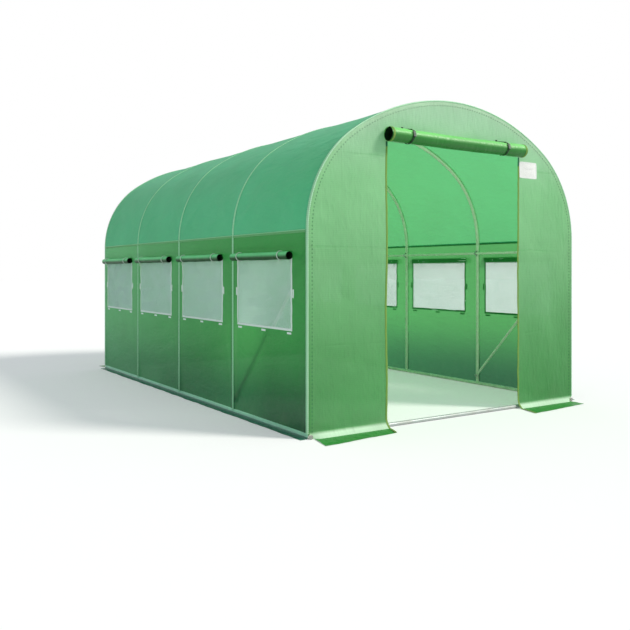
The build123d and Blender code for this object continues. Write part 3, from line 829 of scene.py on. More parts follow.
def film(name, pitch, tones, heights, glow=0.0, clear=0.0, contrast=0.1, rough=0.34, gloss=0.3,
         fold=NO_FOLDS, crest=None, far=None, inside=None):
    """Woven film: a satin coat over a sheet that lets light through. Its colour runs through
    the two tones between the two heights, and on to a crest's high up and to a far one towards
    the back where there is one. These tones are painted shade where they darken, low on the
    walls and under the rolls, and painted light where they brighten: a highlight on the rolls'
    tops, a glow and haze high on the end walls, a reflection towards the back of the side walls.
    Fold gives the spacings and the depth of its packing folds, and inside the two tones of the
    light that it scatters through."""
    if name in bpy.data.materials:
        return bpy.data.materials[name]
    material, tree = fresh(name)
    spot, cloth = on_object(tree), on_cloth(tree)
    _, back, up = apart(tree, spot)
    # Colour by height: where the two tones differ, painted shade low down and painted light higher up.
    rise = between(tree, up, *heights)
    plain = mixed(tree, rise, *map(solid, tones))
    # The crest: painted light high on the end walls.
    if crest is not None:
        plain = mixed(tree, between(tree, up, 1.4, 1.95), plain, solid(crest))
    # The far tone: a painted reflection, paler towards the back.
    if far is not None:
        plain = mixed(tree, between(tree, back, -1.3, 2.0, 0.0, 0.95), plain, solid(far))
    across, high, depth = fold
    line = grouped(tree, "Packing folds", {"Vector": cloth, "Across": across, "Up": high})["Mask"]
    # Fold lines take the lower tone: where that is darker, painted shade in the creases.
    tone = mixed(tree, sums(tree, "MULTIPLY", line, depth), plain, solid(tones[0]))
    values = {"Vector": cloth, "Color": tone, "Pitch": pitch, "Contrast": contrast}
    weave = grouped(tree, "Woven film", values)
    folds = grouped(tree, "Film creases", {"Vector": cloth})["Height"]
    relief = sums(tree, "SUBTRACT", folds, sums(tree, "MULTIPLY", line, depth * 1.5))
    creases = bumped(tree, 0.55, 0.006, relief)
    bump = bumped(tree, 0.3, 0.0006, weave["Height"], Normal=creases)
    marks, extra = worn(tree, spot, 0.3), {"Specular IOR Level": gloss}
    face = coat(tree, marks, 0.35, FILM_DUST, weave["Color"], rough, bump, clamp=False, **extra)
    # The light let through follows the same heights and is dimmer near the ground: painted shade.
    glimmer = plain if inside is None else mixed(tree, rise, *map(solid, inside))
    through = put(tree, "ShaderNodeBsdfTranslucent", {"Color": glimmer, "Normal": bump}).outputs[0]
    gap = put(tree, "ShaderNodeBsdfTransparent", {"Color": (0.62, 0.92, 0.7, 1)}).outputs[0]
    return shown(material, tree, blend(tree, clear, blend(tree, glow, face, through), gap))


def tape(name, base, pitch, rough, glow=0.0, sheen=0.0):
    """Woven tape or cord with ribs."""
    if name in bpy.data.materials:
        return bpy.data.materials[name]
    material, tree = fresh(name)
    spot, cloth = on_object(tree), on_cloth(tree)
    ribs = grouped(tree, "Webbing", {"Vector": cloth, "Color": solid(base), "Pitch": pitch})
    bump = bumped(tree, 0.5, 0.0005, ribs["Height"])
    marks, extra = worn(tree, spot, 0.5), {"Sheen Weight": sheen}
    out = coat(tree, marks, 0.3, TAPE_DUST, ribs["Color"], rough, bump, **extra)
    if glow:
        through = put(tree, "ShaderNodeBsdfTranslucent", {"Color": solid(base)}).outputs[0]
        out = blend(tree, glow, out, through)
    return shown(material, tree, out)


def metal(name, base, metallic, rough, speck=0.06):
    """Coated or plated steel, or plastic: a cloudy tone, faint specks and dust low down."""
    if name in bpy.data.materials:
        return bpy.data.materials[name]
    material, tree = fresh(name)
    spot = on_object(tree)
    marks = worn(tree, spot, 0.6)
    light = between(tree, noise(tree, spot, 32.0, 4.0), 0.3, 0.7, 1 - speck, 1 + speck)
    tone = scaled(tree, tuple(base), light)
    bump = bumped(tree, 0.12, 0.0004, marks["Speck"])
    extra = {"Metallic": metallic}
    return shown(material, tree, coat(tree, marks, 0.5, METAL_DUST, tone, rough, bump, **extra))


def finishes(scene):
    """All the finishes by name, made on first use from the scene's colours."""
    c, f = scene.tunnel_colours, scene.tunnel_film
    light = {"glow": f.glow, "clear": f.clear}
    band = {"glow": 0.2, "contrast": 0.05}
    lying = {"glow": 0.1, "rough": 0.36}
    roof = dict(light, contrast=0.06, gloss=0.2, fold=(0.7, 0.9, 0.03), inside=(c.roof_light,) * 2)
    # The side walls' far tone is a painted reflection towards the back.
    side = dict(light, contrast=0.07, gloss=0.18, fold=(0.7, 0.9, 0.05), far=c.side_far_reflection)
    # The light let through is dimmer near the ground: painted shade.
    side["inside"] = (c.foot_light, c.side_light)
    # The end walls' crest is painted light, paler high up.
    end = dict(light, contrast=0.16, crest=c.end_lit_crest, fold=(5, 0.55, 0.22))
    door_flap = (c.flap_shaded_under, c.flap)
    window_flap = (c.window_shaded_under, c.window_flap)
    films = (
        # Roof film: its bluish tone holds a painted reflection of the sky.
        ("roof", "Roof film", (c.roof, c.roof), (1.1, 2.0), roof),
        # Side film: darker from 0.6 m down to the ground, painted shade.
        ("side", "Side film", (c.side_shaded_foot, c.side), (0.05, 0.6), side),
        # Foot bands: paler over the rails, partly painted highlight; the side band's lower edge darker,
        # painted shade.
        ("band", "Foot band", (c.side_skirt, c.band), (0.008, 0.014), band),
        ("end_band", "End foot band", (c.end_band, c.end_foot), (0.018, 0.04), band),
        # End film: painted shade low down, painted light towards the crest.
        ("end", "End film", (c.end_foot, c.end), (0.1, 1.6), end),
        # Door flap film: from painted shade under the roll to a painted highlight on its top.
        ("flap", "Door flap film", door_flap, (DOOR_AXIS - 0.01, DOOR_AXIS + 0.034),
         {"glow": 0.06, "rough": 0.36, "gloss": 0.5}),
        # Window flap film: from painted shade under the roll to a painted highlight on its top.
        ("window_flap", "Window flap film", window_flap, (FLAP_AXIS - 0.012, FLAP_AXIS + 0.012),
         {"glow": 0.06, "gloss": 0.15}),
        # Inner turns: painted shade inside the rolls.
        ("inner", "Inner turns", (c.inner, c.inner), (0, 1), {"rough": 0.5, "gloss": 0.1}),
        ("skirt", "Skirt film", (c.skirt, c.skirt), (0, 1), dict(lying, fold=(0.45, 0.9, 0.2))),
        ("side_skirt", "Side skirt film", (c.side_skirt, c.side_skirt), (0, 1), lying),
    )
    made = {key: film(name, f.grid, *tones, **how) for key, name, *tones, how in films}
    return made | {
        "net": tape("Net thread", c.net, 0.001, 0.55, glow=0.3),
        "tape": tape("Window tape", c.tape, 0.0018, 0.6),
        "welt": tape("Welt", c.welt, 0.003, 0.45, glow=0.15),
        "cord": tape("Piping cord", c.cord, 0.003, 0.45, glow=0.1),
        "seam": tape("Seam tape", c.seam, 0.0025, 0.5, glow=0.4),
        "seam_band": tape("Seam band", c.seam_band, 0.0025, 0.5, glow=0.3),
        "tie": tape("Tie cord", c.tie, 0.0016, 0.6),
        "strap": tape("Strap webbing", c.strap, 0.002, 0.8),
        "binding": tape("Binding tape", c.binding, 0.002, 0.6, sheen=0.1),
        "label": tape("Label vinyl", c.label, 0.0006, 0.4),
        "tube": metal("Coated tube", c.tube, 0.0, 0.26),
        "sill": metal("Threshold tube", c.sill, 0.2, 0.3),
        "zinc": metal("Zinc plate", c.zinc, 0.9, 0.32, speck=0.12),
        "cap": metal("Cap plastic", c.plastic, 0.0, 0.4),
        "buckle": metal("Buckle plastic", c.plastic, 0.0, 0.34),
    }


class Maker:
    """What every piece's operator shares: the sizes, the outline and the finishes."""

    bl_options = {"REGISTER", "UNDO"}

    def look_up(self, context):
        scene = context.scene
        self.sizes = scene.tunnel_sizes
        self.windows = scene.tunnel_windows
        self.door = scene.tunnel_door
        self.outline = Outline(self.sizes)
        self.finish = finishes(scene)

    def make(self, heap, name, finish_names, slot, *nodes, **how):
        """Builds a heap with the finishes that a line of words names."""
        materials = [self.finish[word] for word in finish_names.split()]
        return heap.build(name, materials, slot, nodes, **how)


def straight(start, end):
    """Points on a straight line, some 4 mm apart."""
    share = np.linspace(0, 1, max(2, round(np.linalg.norm(end - start) / 0.004) + 1))
    return start + share[:, None] * (end - start)


# Rolled flaps

ROLL_SHIFT, STRAP_SHIFT = -0.012, -0.024
WINDOW_STEPS, DOOR_STEPS = 24, 32


def spiral(radius, pitch, turns, steps_a_turn):
    """A roll from its top inwards: the angle, the turns so far, and the radius, which loses one
    pitch in every turn."""
    angle = np.linspace(0.5 * math.pi, (0.5 + 2 * turns) * math.pi, steps_a_turn * turns + 1)
    gone = angle - angle[0]
    return angle, gone / (2 * math.pi), radius - pitch * gone / (2 * math.pi)


def bells(place, spots):
    """Bell curves 20 mm wide on each spot."""
    return sum(np.exp(-(((place - spot) / 0.02) ** 2)) for spot in spots)


def wind(heap, points, across, web, turn, axis):
    """Adds a rolled flap and returns the length of its cloth. Its grid of points has `web` rows
    that lead to the roll, then `turn` rows for its outermost layer, and all further layers,
    which take the second finish: a near-black tone that is painted shade inside the roll."""
    columns = points.shape[1] - 1
    run = run_along(points[:, columns // 2])
    flat, faces = points.reshape(-1, 3), grid_faces(*across.shape)
    roll = faces[(web + 1) * columns:]
    if (outwards(flat, roll, axis) != roll).any():
        faces = faces[:, ::-1]
    inner = np.arange(len(faces)) >= (web + turn) * columns
    heap.add((flat, faces), cloth_uv(across, run[:, None]), inner)
    return float(run[-1])


SOCKET, SEAT = 0.035, 0.0004
BRACE_X, BRACE_TOP, BRACE_FOOT = 1.0959, 1.04, 0.075


class GREENHOUSE_OT_tubes(Maker, Operator):
    """The round tubes of the frame: base rails, legs, hoops, long rails and braces"""

    bl_idname = "greenhouse.tubes"
    bl_label = "Frame tubes"

    def base(self):
        """The long rails with a collar for each leg, the bare tubes across the ends, and caps."""
        reach, r, leg_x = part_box("base_rail_left")[1].y, self.outline.tube, self.outline.leg_x
        collar = [
            (0.0, 0.0119), (0.0115, 0.0119), (0.013, 0.0136),
            (0.0145, 0.0119), (0.0224, 0.0119), (0.0225, 0.0112),
        ]
        for side, name in SIDES:
            x = side * leg_x
            rail = Heap().add(cut_tube((x, -reach, r), (x, reach, r), r, ACROSS, 28))
            for y in HOOP_YS:
                rail.add(turned((x, y, r), UP, ACROSS, collar, 24))
            self.make(rail, f"base_tube_{name}", "tube", "tube", f"base_rail_{name}")
        for name in ("front", "back"):
            low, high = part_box(f"base_rail_{name}")
            y = (low.y + high.y) / 2
            bar = Heap().add(cut_tube((low.x, y, r), (high.x, y, r), r, ALONG, 28))
            self.make(bar, f"threshold_{name}", "sill", "tube", f"base_rail_{name}")
        caps = Heap()
        profile = [
            (-0.01, 0.0108), (0.0, 0.0108), (0.0, 0.0124),
            (0.0018, 0.0125), (0.0027, 0.0114), (0.003, 0.009),
        ]
        for x in (-leg_x, leg_x):
            for end in (-1, 1):
                caps.add(turned((x, end * reach, r), (0, end, 0), ACROSS, profile, 28))
        self.make(caps, "tube_caps", "cap", "cap", "rail_end_caps")

    def uprights(self):
        """The legs, and the hoops that end in sockets over them, with two dimples at each."""
        outline = self.outline
        r, leg_x = outline.tube, outline.leg_x
        low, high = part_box("legs_left")
        joint = high.z - SOCKET
        tall = joint - low.z
        swage = [(tall - 0.002, r), (tall, r - 0.0014), (tall + 0.034, r - 0.0016)]
        profile = [(0, r - 0.0012), (LIP, r), *swage]
        for side, name in SIDES:
            legs = Heap()
            for y in HOOP_YS:
                legs.add(turned((side * leg_x, y, low.z), UP, ACROSS, profile, 24))
            self.make(legs, f"leg_tubes_{name}", "tube", "tube", f"legs_{name}")
        foot, spring, taper = outline.wall_run(joint + SEAT), outline.spring_run, 0.0008
        runs = steps([-foot, -foot + taper, -spring, spring, foot - taper, foot], 0.03)
        x, z = outline.at(runs, leg_x - outline.half)
        radii = np.full(len(runs), r)
        radii[[0, -1]] = r - taper
        dimple, sunk = [(0, 0.004), (0.0008, 0.0035), (0.0012, 0.0015)], 0.0003
        for number, y in enumerate(HOOP_YS, 1):
            path = np.stack([x, np.full(len(x), y), z], axis=-1)
            hoop = Heap().add(tube(path, radii, ALONG, 20))
            for side in (-1, 1):
                for height in (0.018, 0.03):
                    at = (side * (leg_x - r + sunk), y, joint + height)
                    hoop.add(turned(at, (-side, 0, 0), ALONG, dimple, 10))
            self.make(hoop, f"hoop_tube_{number}", "tube", "tube", f"hoop_arch_{number}")

    def rails(self):
        """The long rails under the hoops, held to each by a strap and two rivets."""
        slim = self.sizes.slim_tube / 2
        turn = np.linspace(0.13, -math.pi - 0.13, 17)
        bend = (slim + 0.001) * np.stack([np.cos(turn), np.sin(turn)], axis=-1)
        flange, strap_wide, strap_thick = slim - 0.002, 0.02, 0.0018
        wing = np.array([(0.022, flange), (0.0135, flange)])
        strap = np.concatenate([wing, bend, wing[::-1] * (-1, 1)])
        head, rivet = [(0, 0.0038), (0.0012, 0.0036), (0.0022, 0.0022)], 0.0178
        for name, across in (("side_rail_left", 1), ("side_rail_right", -1), ("ridge_rail", 0)):
            low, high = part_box(name)
            if across:
                x = -across * (self.outline.leg_x - self.outline.tube - 0.0003 - slim)
                z = middle_of(name, 2)
                out, along = np.array((-across, 0, 0.0)), np.array((0, 0, 1.0))
            else:
                x, z = 0.0, high.z - slim
                out, along = np.array((0, 0, 1.0)), np.array((1.0, 0, 0))
            rail = Heap().add(cut_tube((x, low.y, z), (x, high.y, z), slim, ACROSS, 24))
            for y in HOOP_YS:
                middle = np.array((x, y, z))
                line = middle + strap[:, :1] * along + strap[:, 1:] * out
                rail.add(flat_strip(line, strap_wide, strap_thick, ALONG, sides=8), finish=1)
                for reach in (-rivet, rivet):
                    at = middle + reach * along + (slim - 0.003) * out
                    rail.add(turned(at, -out, ALONG, head, 10), finish=1)
            self.make(rail, name.replace("rail", "tube"), "tube zinc", "tube", name)

    def braces(self):
        """Slanting rods, flattened at both ends where a bolt and a wing nut hold them."""
        slim = self.sizes.slim_tube / 2
        tip_run, flat_wide, flat_thick = 0.012, 0.024, 0.003
        rings = np.array([0, 0.0015, 0.006, 0.024, 0.032, 0.042, 0.056, 0.07])
        for side, name in SIDES:
            rods = Heap()
            for end in (-1, 1):
                top = np.array((side * BRACE_X, end * abs(HOOP_YS[0]), BRACE_TOP))
                foot = np.array((side * BRACE_X, end * abs(HOOP_YS[1]), BRACE_FOOT))
                run = foot - top
                length = np.linalg.norm(run)
                run = run / length
                marks = np.concatenate([rings - tip_run, [length / 2], length + tip_run - rings[::-1]])
                near = np.minimum(marks + tip_run, length + tip_run - marks)
                share = smooth(near, 0.026, 0.066)[:, None, None]
                tip = smooth(near, -0.004, 0.007)[:, None, None]
                flat = flat_section(flat_wide, flat_thick, 20, 0.5)[None] * (0.55 + 0.45 * tip)
                section = flat * (1 - share) + round_section(20)[None] * slim * share
                path = top + marks[:, None] * run
                rods.add(loft(carried(section, path, np.cross(run, (1.0, 0, 0)))))
                for spot in (top, foot):
                    self.wing_nut(rods, spot, side)
            self.make(rods, f"brace_tubes_{name}", "tube zinc", "tube", f"braces_{name}")

    def wing_nut(self, heap, spot, side):
        """A bolt end with a washer and a nut that has two rounded wings."""
        inward = np.array((-side, 0.0, 0.0))
        face = spot + 0.0016 * inward
        washer = [(0, 0.007), (0.001, 0.007), (0.0012, 0.0066)]
        nut = [(0, 0.0048), (0.004, 0.0042), (0.0044, 0.0036)]
        bolt = [(0, 0.0028), (0.0085, 0.0028), (0.009, 0.0022)]
        for lift, profile, sides in ((0, washer, 16), (0.0012, nut, 12), (0, bolt, 10)):
            heap.add(turned(face + lift * inward, inward, ALONG, profile, sides), finish=1)
        share = np.linspace(0, 1, 6)
        rise = np.outer(0.0022 + 0.008 * share**1.4, inward)
        section = flat_section(0.0062, 0.0016, 8, 0.6)[None] * (1 - 0.3 * share[:, None, None] ** 3)
        for wing in (-1, 1):
            path = face + rise + np.outer(wing * (0.003 + 0.009 * share), (0, 0.8, 0.6))
            heap.add(loft(carried(section, path, ACROSS)), finish=1)

    def execute(self, context):
        self.look_up(context)
        self.base()
        self.uprights()
        self.rails()
        self.braces()
        return {"FINISHED"}


class GREENHOUSE_OT_cover(Maker, Operator):
    """The tunnel's film: the roof and the two side walls with their window openings"""

    bl_idname = "greenhouse.cover"
    bl_label = "Tunnel film"

    def columns(self):
        """Stations along the tunnel: close together round the edge over each end hoop, and a
        station at both sides of every window."""
        half, edge, window = self.sizes.length / 2, self.sizes.edge, self.windows.width / 2
        corner = [half - edge * (1 - math.cos(a)) for a in np.radians((45, 60, 75, 90))]
        inner = [-corner[-1]]
        for y in WINDOW_YS:
            inner += [y - window, y + window]
        inner += [corner[-1]]
        return np.concatenate([np.negative(corner[:-1]), steps(inner, 0.02), corner[-2::-1]])

    def roof(self):
        outline, width = self.outline, 2 * self.outline.spring_run
        turns = [-outline.spring_run, -outline.crown_run, outline.crown_run, outline.spring_run]
        run, y = np.meshgrid(steps(turns, ARCH_STEP), self.columns(), indexing="ij")
        points = outline.place(run, y).reshape(-1, 3)
        faces = outwards(points, grid_faces(*run.shape), INSIDE)
        heap = Heap().add((points, faces), np.stack([run, y], axis=-1))
        piece = self.make(heap, "roof_film", "roof", "film_roof", "cover_roof", solid=False)

    def side(self, side, name):
        """A side wall, less its windows, with a band over the base rail."""
        outline, window, length = self.outline, self.windows, self.sizes.length
        low = [0.0015, 0.004, 0.008, 0.0125, 0.0165, 0.02, 0.023, 0.025, 0.03]
        stops = [0.045, window.bottom, window.top, outline.spring]
        heights = np.concatenate([low, steps(stops, ARCH_STEP)])
        height, y = np.meshgrid(heights, self.columns(), indexing="ij")
        run = side * outline.wall_run(height)
        points = outline.place(run, y).reshape(-1, 3)
        faces = grid_faces(*height.shape)
        spot_y, spot_z = y.ravel()[faces].mean(axis=1), height.ravel()[faces].mean(axis=1)
        open_y = np.any([np.abs(spot_y - place) < window.width / 2 for place in WINDOW_YS], axis=0)
        faces = faces[~(open_y & (spot_z > window.bottom) & (spot_z < window.top))]
        faces = outwards(points, faces, INSIDE)
        band_top = 0.0275
        # Faces over the side rail take the foot band: its paler top partly painted highlight, its darker
        # lower edge painted shade.
        band = height.ravel()[faces].mean(axis=1) < band_top
        heap = Heap().add((points, faces), np.stack([run, y], axis=-1), band)
        node = f"cover_side_{name}"
        piece = self.make(heap, f"side_film_{name}", "side band", "film_side", node, solid=False)
        cut = outline.spring * length
        cut -= len(WINDOW_YS) * window.width * (window.top - window.bottom)

    def execute(self, context):
        self.look_up(context)
        self.roof()
        self.side(-1, "left")
        self.side(1, "right")
        return {"FINISHED"}


class GREENHOUSE_OT_ends(Maker, Operator):
    """The two end walls, the front one with its doorway"""

    bl_idname = "greenhouse.ends"
    bl_label = "End walls"

    def wall(self, out, door, name, nodes):
        """A grid of columns under the arch and rows that bend to the door head and the roof,
        and a rim that turns over the end hoop."""
        outline, sizes, spring = self.outline, self.sizes, self.outline.spring
        half, edge = self.door.width / 2, sizes.edge
        door_run = outline.crown * math.asin(half / (outline.crown - edge))
        turns = [door_run, outline.crown_run, outline.spring_run]
        runs = steps([-run for run in turns[::-1]] + turns, 0.022)
        x, top = outline.at(runs, -edge)
        door_top = np.interp(half, x[len(x) // 2:], top[len(x) // 2:])
        share = (self.door.head - spring) / (door_top - spring)
        over_door = np.abs(x) <= half + 1e-6
        head = np.where(over_door, self.door.head, spring + (top - spring) * share)
        foot = [0.0015, 0.006, 0.012, 0.02, 0.026, 0.033, 0.04]
        low = np.concatenate([foot, steps([FOOT_RISE, 0.12, spring], 0.026)])
        middle = np.linspace(0, 1, 24)[1:, None]
        upper = np.linspace(0, 1, 14)[1:, None]
        z = np.concatenate([
            np.broadcast_to(low[:, None], (len(low), len(x))),
            spring + middle * (head - spring),
            head + upper * (top - head),
        ])
        wide = np.broadcast_to(x, z.shape)
        reach = sizes.length / 2 + face_lie(outline, wide, z, door)
        points = np.stack([wide, out * reach, z], axis=-1).reshape(-1, 3)
        faces = grid_faces(*z.shape)
        if door:
            row = np.arange(z.shape[0] - 1).repeat(z.shape[1] - 1)
            spot = wide.ravel()[faces].mean(axis=1)
            faces = faces[~((np.abs(spot) < half) & (row < len(low) + len(middle) - 1))]
        band_top = 0.045
        # Faces over the end rail take the end foot band, paler at the bottom: partly painted highlight.
        band = z.ravel()[faces].mean(axis=1) < band_top
        faces = outwards(points, faces, END_INSIDE)
        heap = Heap().add((points, faces), np.stack([wide, z], axis=-1), band)
        wall = outline.wall_run(low)
        rim_runs = np.concatenate([-wall[:-1], runs, wall[-2::-1]])
        rim, turn = np.meshgrid(rim_runs, np.radians((0, 15, 30, 45)), indexing="ij")
        rim_x, rim_z = outline.at(rim, -edge * (1 - np.sin(turn)))
        lie = face_lie(outline, rim_x, rim_z, door) * (turn == 0)
        reach = sizes.length / 2 - edge * (1 - np.cos(turn)) + lie
        points = np.stack([rim_x, out * reach, rim_z], axis=-1).reshape(-1, 3)
        faces = outwards(points, grid_faces(*rim.shape), END_INSIDE)
        heap.add((points, faces), np.stack([rim_x, rim_z], axis=-1))
        piece = self.make(heap, name, "end end_band", "film_end", *nodes, solid=False)
        shape = 2 * outline.half * spring + 1.62 * outline.half * (sizes.height - spring)
        if door:
            shape -= self.door.width * self.door.head

    def execute(self, context):
        self.look_up(context)
        front = ["cover_front_left", "cover_front_right", "cover_front_top"]
        self.wall(-1, True, "front_film", front)
        self.wall(1, False, "back_film", ["cover_back"])
        return {"FINISHED"}


class GREENHOUSE_OT_skirts(Maker, Operator):
    """The free hem of the cover, lying on the ground all round"""

    bl_idname = "greenhouse.skirts"
    bl_label = "Skirts"

    def lay(self, name, node, inner, outer, seed, finish="skirt"):
        """A strip between an inner and an outer line, laid with low ripples that grow towards
        its free edge."""
        rows = 9
        share = np.linspace(0, 1, rows)
        points = inner[:, None] + share[None, :, None] * (outer - inner)[:, None]
        ripple = 0.5 + 0.5 * waves(points[..., 0], points[..., 1], seed, 7, 0.06, 0.3)
        swell = np.sin(np.pi * np.clip(share, 0, 0.86)) ** 0.8
        lift = 0.0012 + 0.0042 * np.clip(ripple, 0, 1.6) * swell
        points[..., 2] = lift + 0.0018 * (1 - share) ** 4
        run = run_along(outer)
        uv = cloth_uv(run[:, None], share * np.linalg.norm(outer[0] - inner[0]))
        points = points.reshape(-1, 3)
        below = (*points.mean(axis=0)[:2], -1)
        faces = outwards(points, grid_faces(len(inner), rows), below)
        heap = Heap().add((points, faces), uv)
        piece = self.make(heap, name, finish, "film_side", node, solid=False)

    def execute(self, context):
        self.look_up(context)
        outline, half = self.outline, self.sizes.length / 2
        count = 150
        ys = np.linspace(-half + 0.002, half - 0.002, count)
        wavy = 0.0025 * waves(ys, 0, 71, 5, 0.2, 0.9)
        for side, name in SIDES:
            inner_x = np.full(count, side * (outline.half + 0.0105))
            inner = np.stack([inner_x, ys, np.zeros(count)], axis=-1)
            outer = inner.copy()
            outer[:, 0] = side * (outline.half + self.sizes.skirt - 0.002 + wavy)
            self.lay(f"skirt_film_{name}", f"skirt_{name}", inner, outer, 5, "side_skirt")
        gap, hem, height = 0.015, 0.004, 0.0015
        for node, (a, b), (far_a, far_b), out in (
            ("skirt_front_left", (-1.09, -0.565), ((-1.13, 1.99), (-0.605, 1.94)), -1),
            ("skirt_front_right", (0.565, 1.09), ((0.525, 1.99), (1.09, 1.94)), -1),
            ("skirt_back", (-1.09, 1.09), ((-1.13, 1.99), (1.13, 1.99)), 1),
        ):
            count = round((b - a) / gap)
            xs, share, level = np.linspace(a, b, count), np.linspace(0, 1, count), np.zeros(count)
            inner = np.stack([xs, out * (half + foot_run(outline, xs, height)), level], axis=-1)
            wavy = 0.0025 * waves(xs, 0, 73, 5, 0.12, 0.5)
            outer_x = far_a[0] + share * (far_b[0] - far_a[0])
            outer_y = far_a[1] + share * (far_b[1] - far_a[1]) - hem + wavy
            outer = np.stack([outer_x, out * outer_y, level], axis=-1)
            self.lay(node.replace("skirt", "skirt_film"), node, inner, outer, 9)
        return {"FINISHED"}


class GREENHOUSE_OT_seams(Maker, Operator):
    """The welts over the hoops, the shoulder seams and their stitches"""

    bl_idname = "greenhouse.seams"
    bl_label = "Welts and seams"

    def normals(self, run):
        turn = self.outline.turn(run)
        return np.stack([np.sin(turn), np.zeros(turn.shape), np.cos(turn)], axis=-1)

    def stitch(self, heap, runs, y, out, long=0.006, wide=0.00055):
        """A row of stitches along the outline: short bars, thickest in their middles."""
        run = stitches(runs, long)
        x, z = self.outline.at(run, out)
        middles = np.stack([x, np.broadcast_to(y, x.shape), z], axis=-1)
        across, high = np.array((0.5, 1, 0.5)) * wide, np.array((0.3, 1, 0.3)) * wide
        heap.add(bars(middles, ALONG, self.normals(run), across, high), finish=1)

    def around(self, runs, y, middle, section):
        """Rings of a section round the outline: its numbers are how far in from the end and how
        far out, from a middle given the same way."""
        out = middle[1] + section[:, 1]
        x, z = self.outline.at(runs[:, None], out[None, :])
        across = np.broadcast_to(y(middle[0] + section[:, 0])[None, :], x.shape)
        return np.stack([x, across, z], axis=-1)

    def hoop_runs(self, foot_height):
        """Runs from foot to foot over the arch, and the places of the stitches on the way."""
        foot, spring = self.outline.wall_run(foot_height), self.outline.spring_run
        inset, gap = 0.01, 0.011
        holes = np.arange(-foot + inset, foot - inset, gap)
        return steps([-foot, -spring, spring, foot], ARCH_STEP), holes

    def end_welt(self, heap, end):
        """A piping cord round the corner of the film, and behind it the tape that it is sewn
        on with."""
        outline, half = self.outline, self.sizes.length / 2
        runs, holes = self.hoop_runs(0.03)

        def y(inward):
            return end * (half - inward)

        cord, band = round_section(12) * 0.0048, flat_section(0.0135, 0.0024, 12, 0.6)
        short, long = 0.004, 0.012
        for middle, section, finish in (((0.002, -0.0012), cord, 2), ((0.0135, 0.0006), band, 0)):
            rings = self.around(runs, y, middle, section)
            heap.add(loft(rings), strip_uv(WELT_GIRTH, runs), finish)
        self.stitch(heap, holes, end * (half - 0.0165), WELT_FACE)
        for beyond, out in ((-0.0025, 0.0038), (0.0028, -0.0028)):
            self.stitch(heap, holes, end * (half + beyond), out, long=short)
        for inset in (-0.027, -0.031):
            run = stitches(holes[::2], long)
            x, z = outline.at(run, inset)
            face = face_lie(outline, x, z, front=end < 0)
            middles = np.stack([x, end * (half + face + 0.0003), z], axis=-1)
            heap.add(bars(middles, self.normals(run), ALONG, *CORNER_STITCH), finish=1)

    def inner_welt(self, heap, y):
        """A flat welt over an inner hoop, sewn down along both edges."""
        runs, holes = self.hoop_runs(0.028)
        x, z = self.outline.at(runs, 0.0006)
        path = np.stack([x, np.full(len(x), y), z], axis=-1)
        wide, thick, row = 0.021, 0.0032, 0.0068
        heap.add(flat_strip(path, wide, thick, ALONG, 0.6), strip_uv(WELT_GIRTH, runs))
        for aside in (-row, row):
            self.stitch(heap, holes, y + aside, WELT_FACE)

    def shoulder(self, heap, side, low, high):
        """The seam of roof and wall over one bay: a band, a cord above it and two rows of
        stitches."""
        outline = self.outline

        def wall(height, y, out):
            return outline.place(side * outline.wall_run(outline.spring + height), y, out)

        inset, stitch_inset = 0.008, 0.014
        ys = np.linspace(low + inset, high - inset, 60)
        band = flat_strip(wall(-0.002, ys, 0.0016), 0.014, 0.0024, UP, 0.5, 10)
        heap.add(band, strip_uv(0.025, ys, 10))
        heap.add(tube(wall(0.0066, ys, 0.0022), 0.0019, UP, 8), finish=1)
        y = stitches(np.arange(low + stitch_inset, high - stitch_inset, 0.009), 0.005)
        for height in (0.0015, -0.0055):
            shape = bars(wall(height, y, 0.0029), UP, (side, 0, 0), *SEAM_STITCH)
            heap.add(shape, finish=1)

    def execute(self, context):
        self.look_up(context)
        ends, inner, seams = Heap(), Heap(), Heap()
        for end in (-1, 1):
            self.end_welt(ends, end)
        self.make(ends, "end_welts", "welt seam cord", "welt", "hoop_welts")
        for y in HOOP_YS[1:-1]:
            self.inner_welt(inner, y)
        self.make(inner, "inner_welts", "welt seam cord", "welt")
        for side in (-1, 1):
            for low, high in zip(HOOP_YS, HOOP_YS[1:]):
                self.shoulder(seams, side, low, high)
        self.make(seams, "seam_bands", "seam_band welt", "film_side", "shoulder_seams")
        return {"FINISHED"}


